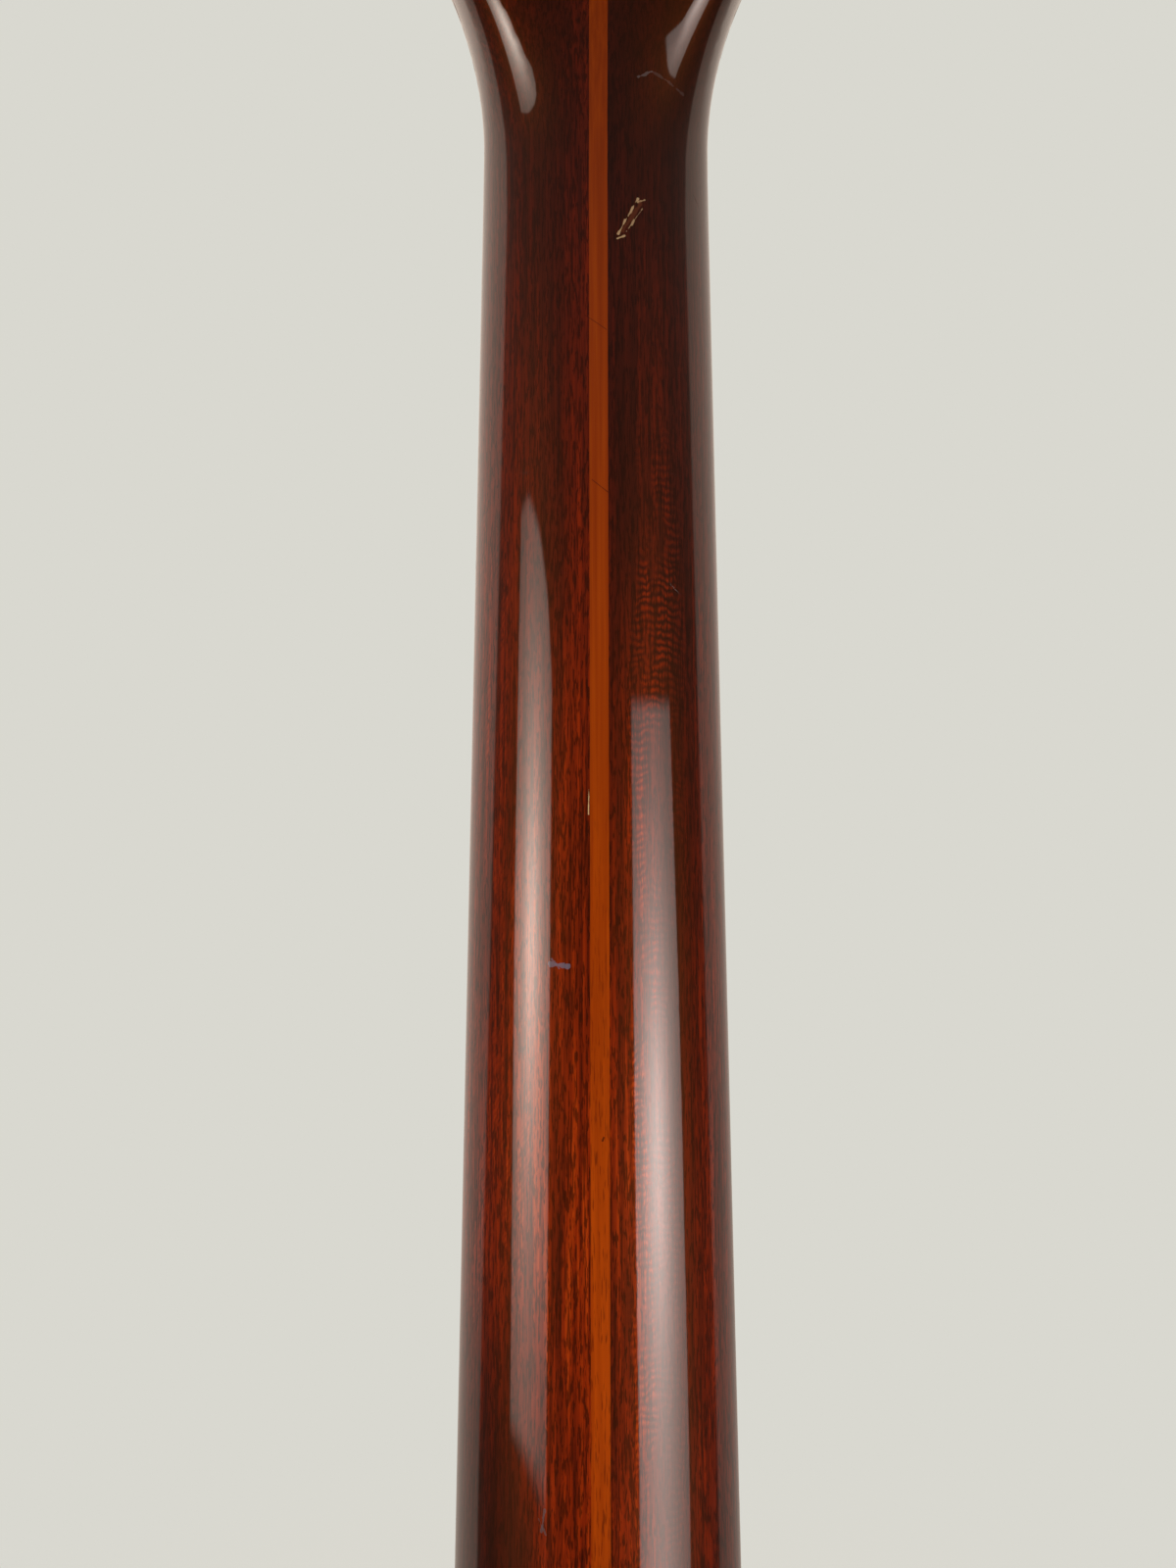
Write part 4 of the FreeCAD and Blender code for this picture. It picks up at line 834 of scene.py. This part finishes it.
def make_binding():
    """Cream plastic that has yellowed and picked up specks."""
    material, graph, shader = new_material("aged_binding")
    cloud = graph.noise(graph.stretched(90, 90, 60), detail=3.0)
    specks = graph.noise(graph.stretched(1400, 1400, 500), detail=2.0)
    body = graph.colours(cloud, (0.3, tint(222, 200, 150)), (0.7, tint(236, 220, 178)))
    body = graph.mix(graph.ramp(specks, 0.64, 0.72, 0.0, 0.35), body, tint(168, 132, 84))
    rough = graph.ramp(specks, 0.3, 0.7, 0.24, 0.42)
    set_shader(
        graph,
        shader,
        Base_Color=body,
        Roughness=rough,
        Subsurface_Weight=0.08,
        Subsurface_Radius=(0.002, 0.0015, 0.001),
    )
    return material


def make_pearl():
    """Shell with folded, faintly coloured bands."""
    material, graph, shader = new_material("pearl_inlay")
    folds = graph.noise(graph.stretched(420, 420, 420), detail=3.0, roughness=0.55, distortion=1.8)
    shell = graph.colours(
        folds,
        (0.30, tint(206, 214, 208)),
        (0.42, tint(232, 222, 214)),
        (0.52, tint(190, 214, 220)),
        (0.62, tint(238, 236, 224)),
        (0.74, tint(214, 198, 208)),
    )
    rough = graph.ramp(folds, 0.3, 0.7, 0.12, 0.28)
    ridges = graph.bump(folds, 0.15, 0.05 * MM)
    set_shader(
        graph,
        shader,
        Base_Color=shell,
        Roughness=rough,
        Normal=ridges,
        Coat_Weight=0.6,
        Coat_Roughness=0.08,
    )
    return material


def make_black_dot():
    """Matt black plastic of the side dots."""
    material, graph, shader = new_material("black_side_dot")
    mottle = graph.noise(graph.stretched(2600, 2600, 2600), detail=2.0)
    body = graph.colours(mottle, (0.35, tint(20, 18, 17)), (0.65, tint(38, 34, 32)))
    rough = graph.ramp(mottle, 0.3, 0.7, 0.32, 0.5)
    set_shader(graph, shader, Base_Color=body, Roughness=rough)
    return material


def make_fret_metal():
    """Nickel silver with polishing lines across the board."""
    material, graph, shader = new_material("nickel_silver")
    draw = graph.noise(graph.stretched(60, 5200, 5200), detail=3.0, roughness=0.6)
    wear = graph.noise(graph.stretched(260, 260, 260, (1.0, 0, 0)), detail=3.0)
    metal = graph.colours(
        wear,
        (0.32, tint(170, 162, 142)),
        (0.50, tint(204, 198, 182)),
        (0.70, tint(222, 218, 206)),
    )
    rough = graph.ramp(draw, 0.3, 0.7, 0.16, 0.34)
    lines = graph.bump(draw, 0.12, 0.02 * MM)
    set_shader(graph, shader, Base_Color=metal, Metallic=1.0, Roughness=rough, Normal=lines)
    return material


def make_bone():
    """Polished bone with fine brown canals."""
    material, graph, shader = new_material("polished_bone")
    grain = graph.noise(graph.stretched(260, 1500, 1500), detail=4.0, roughness=0.6)
    canals = graph.noise(graph.stretched(500, 5200, 5200), detail=1.0)
    body = graph.colours(
        grain,
        (0.32, tint(214, 196, 154)),
        (0.52, tint(232, 220, 188)),
        (0.70, tint(242, 234, 210)),
    )
    body = graph.mix(graph.ramp(canals, 0.66, 0.72, 0.0, 0.4), body, tint(160, 130, 88))
    rough = graph.ramp(grain, 0.3, 0.7, 0.28, 0.44)
    set_shader(
        graph,
        shader,
        Base_Color=body,
        Roughness=rough,
        Subsurface_Weight=0.1,
        Subsurface_Radius=(0.002, 0.0014, 0.0008),
    )
    return material


def make_black_plastic():
    """Glossy black plastic with light scuffs."""
    material, graph, shader = new_material("black_cover_plastic")
    scuffs = graph.noise(graph.stretched(700, 700, 120), detail=4.0, roughness=0.7, distortion=0.6)
    body = graph.colours(scuffs, (0.35, tint(12, 12, 12)), (0.7, tint(30, 29, 28)))
    rough = graph.ramp(scuffs, 0.35, 0.7, 0.10, 0.30)
    set_shader(graph, shader, Base_Color=body, Roughness=rough)
    return material


paint(make_rosewood(), "fingerboard")
paint(make_black_veneer(), "headstock_veneer")
paint(make_binding(), "fingerboard_binding", "heel_cap")
paint(make_pearl(), "position_inlays")
paint(make_black_dot(), "side_dots")
paint(make_fret_metal(), "frets")
paint(make_bone(), "nut")
paint(make_black_plastic(), "truss_rod_cover")

# ---------------------------------------------------------------- metal fittings and buttons


def make_nickel():
    """Nickel plate, hazed in patches and pitted brown in places."""
    material, graph, shader = new_material("nickel_plate")
    haze = graph.noise(graph.stretched(180, 180, 180), detail=4.0, roughness=0.6)
    pits = graph.noise(graph.stretched(2600, 2600, 2600, (5.0, 0, 0)), detail=2.0)
    metal = graph.colours(
        haze,
        (0.32, tint(186, 178, 160)),
        (0.52, tint(208, 203, 192)),
        (0.72, tint(222, 219, 212)),
    )
    metal = graph.mix(graph.ramp(pits, 0.66, 0.73, 0.0, 0.7), metal, tint(104, 88, 66))
    rough = graph.ramp(haze, 0.3, 0.72, 0.30, 0.12)
    dents = graph.bump(pits, 0.1, 0.02 * MM)
    set_shader(graph, shader, Base_Color=metal, Metallic=1.0, Roughness=rough, Normal=dents)
    return material


def make_rod_steel():
    """Drawn steel with lines along it and patches of rust."""
    material, graph, shader = new_material("rod_steel")
    draw = graph.noise(graph.stretched(3200, 3200, 60), detail=4.0, roughness=0.6)
    rust = graph.noise(graph.stretched(500, 500, 500), detail=4.0, roughness=0.7)
    metal = graph.colours(draw, (0.3, tint(108, 108, 110)), (0.7, tint(156, 156, 160)))
    metal = graph.mix(graph.ramp(rust, 0.58, 0.68, 0.0, 0.6), metal, tint(112, 74, 46))
    rough = graph.ramp(rust, 0.4, 0.68, 0.30, 0.55)
    lines = graph.bump(draw, 0.15, 0.02 * MM)
    set_shader(graph, shader, Base_Color=metal, Metallic=1.0, Roughness=rough, Normal=lines)
    return material


def make_brass():
    """Machined brass with some tarnish."""
    material, graph, shader = new_material("cut_brass")
    tool = graph.noise(graph.stretched(2800, 2800, 2800), detail=3.0, roughness=0.6)
    tarnish = graph.noise(graph.stretched(420, 420, 420, (3.0, 0, 0)), detail=4.0)
    metal = graph.colours(
        tarnish,
        (0.32, tint(150, 112, 52)),
        (0.50, tint(196, 156, 82)),
        (0.70, tint(222, 186, 110)),
    )
    rough = graph.ramp(tool, 0.3, 0.7, 0.20, 0.40)
    marks = graph.bump(tool, 0.12, 0.02 * MM)
    set_shader(graph, shader, Base_Color=metal, Metallic=1.0, Roughness=rough, Normal=marks)
    return material


def make_cream_plastic():
    """The buttons' clouded cream plastic, scuffed by fingers."""
    material, graph, shader = new_material("cream_button_plastic")
    cloud = graph.noise(graph.stretched(130, 130, 130), detail=3.0, distortion=0.8)
    scuffs = graph.noise(graph.stretched(1500, 1500, 700), detail=3.0, roughness=0.7)
    body = graph.colours(
        cloud,
        (0.30, tint(214, 196, 154)),
        (0.50, tint(228, 214, 178)),
        (0.70, tint(238, 228, 198)),
    )
    body = graph.mix(graph.ramp(scuffs, 0.62, 0.72, 0.0, 0.3), body, tint(170, 144, 104))
    rough = graph.ramp(scuffs, 0.3, 0.7, 0.18, 0.36)
    set_shader(
        graph,
        shader,
        Base_Color=body,
        Roughness=rough,
        Subsurface_Weight=0.12,
        Subsurface_Radius=(0.004, 0.003, 0.002),
    )
    return material


TUNERS = range(1, 7)
NICKEL_PIECES = ("worm_shaft", "post", "baseplate", "cover")
nickel_nodes = [f"tuner_{number}_{piece}" for number in TUNERS for piece in NICKEL_PIECES]
gears = [f"tuner_{number}_gear" for number in TUNERS]
buttons = [f"tuner_{number}_button" for number in TUNERS]
paint(make_nickel(), "tuner_bushings", "tuner_screws", "truss_rod_cover_screws", *nickel_nodes)
paint(make_rod_steel(), "truss_rod", "truss_rod_anchor", "truss_rod_washer")
paint(make_brass(), "truss_rod_nut", "threaded_inserts", *gears)
paint(make_cream_plastic(), *buttons)

# ---------------------------------------------------------------- studio

BACKGROUND = tint(217, 216, 208)
# The room is dim below the first height and as light as its ceiling above the second, in degrees
# above the horizon.
ROOM_LIGHT = (0.016, 0.014, 0.014, 1.0)
CEILING_LIGHT = (0.088, 0.082, 0.080, 1.0)
ROOM_HEIGHTS = (-5.0, 36.0)
# The cloth that the neck lies on begins this many degrees round from the neck's back, slants with
# height and fades in over its edge. It is darker low down and lighter on the treble side.
CLOTH_LIGHT = (0.62, 0.52, 0.44)
CLOTH_TURN = 87.0
CLOTH_SLANT = -0.17
CLOTH_EDGE = 2.0
# How wide a soft box's soft edge is, in degrees.
BOX_EDGE = 1.2
# Each light: its corners, its hottest point and how far the glow spreads from there, all in
# degrees round from the neck's back towards the treble side and degrees above the horizon, then
# its colour and its strength.
TREBLE_LIGHT = {
    "corners": (
        (29.5, -25.5),
        (56.0, -24.0),
        (58.5, 0.0),
        (57.5, 16.6),
        (50.0, 17.4),
        (40.0, 15.8),
        (33.0, 12.6),
        (29.5, 8.5),
    ),
    "core": (43.5, -4.0),
    "fall": (7.8, 8.8),
    "colour": (1.08, 1.0, 0.88),
    "strength": 9.3,
}
BASS_LIGHT = {
    "corners": (
        (-59.5, -36.0),
        (-24.5, -36.0),
        (-22.5, -16.0),
        (-22.5, 7.5),
        (-52.0, 7.5),
        (-56.5, -8.0),
    ),
    "core": (-37.0, -14.0),
    "fall": (9.5, 9.5),
    "colour": (1.06, 1.0, 0.95),
    "strength": 10.0,
}


def inside_corners(graph, turn, rise, corners):
    """One inside a polygon of directions, nought outside it, with a narrow soft edge."""
    inside = 1.0
    for start, end in zip(corners, corners[1:] + corners[:1]):
        side = Vector((end[0] - start[0], end[1] - start[1])).normalized()
        from_turn = graph.math("MULTIPLY", graph.math("SUBTRACT", turn, start[0]), -side.y)
        from_rise = graph.math("MULTIPLY", graph.math("SUBTRACT", rise, start[1]), side.x)
        depth = graph.math("ADD", from_turn, from_rise)
        edge = graph.ramp(depth, -BOX_EDGE / 2, BOX_EDGE / 2)
        inside = graph.math("MULTIPLY", edge, inside)
    return inside


def window_light(graph, turn, rise, light):
    """The colour of a soft box that glows most at its core."""
    core_turn, core_rise = light["core"]
    fall_turn, fall_rise = light["fall"]
    off_turn = graph.math("DIVIDE", graph.math("SUBTRACT", turn, core_turn), fall_turn)
    off_rise = graph.math("DIVIDE", graph.math("SUBTRACT", rise, core_rise), fall_rise)
    squares = graph.math("ADD", graph.product(off_turn, off_turn), graph.product(off_rise, off_rise))
    glow = graph.math("DIVIDE", light["strength"], graph.math("ADD", squares, 1.0))
    return graph.scaled(light["colour"], glow)


def make_studio():
    """Two soft boxes over the neck's back, a dim room round them and pale cloth beyond it."""
    world = bpy.data.worlds.new("studio")
    world.use_nodes = True
    graph = Graph(world.node_tree)
    split = graph.node("ShaderNodeSeparateXYZ")
    graph.feed(split.inputs[0], graph.node("ShaderNodeTexCoord").outputs["Generated"])
    x, y, z = split.outputs
    turn = graph.math("MULTIPLY", graph.math("ARCTAN2", x, y), 180 / math.pi)
    rise = graph.math("MULTIPLY", graph.math("ARCSINE", z), 180 / math.pi)
    slant = graph.math("MULTIPLY", rise, CLOTH_SLANT)
    away = graph.math("SUBTRACT", graph.math("ABSOLUTE", turn), slant)
    room = graph.mix(graph.ramp(rise, *ROOM_HEIGHTS), ROOM_LIGHT, CEILING_LIGHT)
    height = graph.ramp(rise, -32.0, 12.0, 0.55, 1.0, smooth=False)
    side = graph.ramp(x, -0.8, 0.8, 1.0, 1.45, smooth=False)
    cloth = graph.scaled(CLOTH_LIGHT, graph.math("MULTIPLY", height, side))
    beyond = graph.ramp(away, CLOTH_TURN - CLOTH_EDGE, CLOTH_TURN + CLOTH_EDGE)
    light = graph.mix(beyond, room, cloth)
    for box in (TREBLE_LIGHT, BASS_LIGHT):
        share = inside_corners(graph, turn, rise, box["corners"])
        light = graph.mix(share, light, window_light(graph, turn, rise, box))
    sees = graph.node("ShaderNodeLightPath").outputs["Is Camera Ray"]
    seen = graph.mix(sees, light, BACKGROUND)
    graph.feed(world.node_tree.nodes["Background"].inputs["Color"], seen)
    bpy.context.scene.world = world


FLOOR_GAP = 0.5 * MM
FLOOR_HALF = 1.2
FLOOR_FADE = (0.10, 0.45)
FLOOR_GLOW = 0.8


def make_floor():
    """A pale floor under the lowest point, fading into the background away from the part."""
    lowest = cad_box[0].z - FLOOR_GAP
    sides = ((-1, -1), (1, -1), (1, 1), (-1, 1))
    corners = [(x * FLOOR_HALF, y * FLOOR_HALF, lowest) for x, y in sides]
    mesh = bpy.data.meshes.new("floor")
    mesh.from_pydata(corners, [], [(0, 1, 2, 3)])
    floor = bpy.data.objects.new("floor", mesh)
    bpy.context.scene.collection.objects.link(floor)
    material, graph, shader = new_material("floor")
    _, x, y, _ = graph.axes()
    squares = graph.math("ADD", graph.product(x, x), graph.product(y, y))
    fade = graph.ramp(graph.math("SQRT", squares), *FLOOR_FADE, 1.0, 0.0)
    set_shader(
        graph,
        shader,
        Base_Color=tint(150, 150, 146),
        Roughness=0.8,
        Emission_Color=BACKGROUND,
        Emission_Strength=FLOOR_GLOW,
        Alpha=fade,
    )
    mesh.materials.append(material)
    floor.visible_glossy = False
    floor.visible_diffuse = False


make_studio()
make_floor()
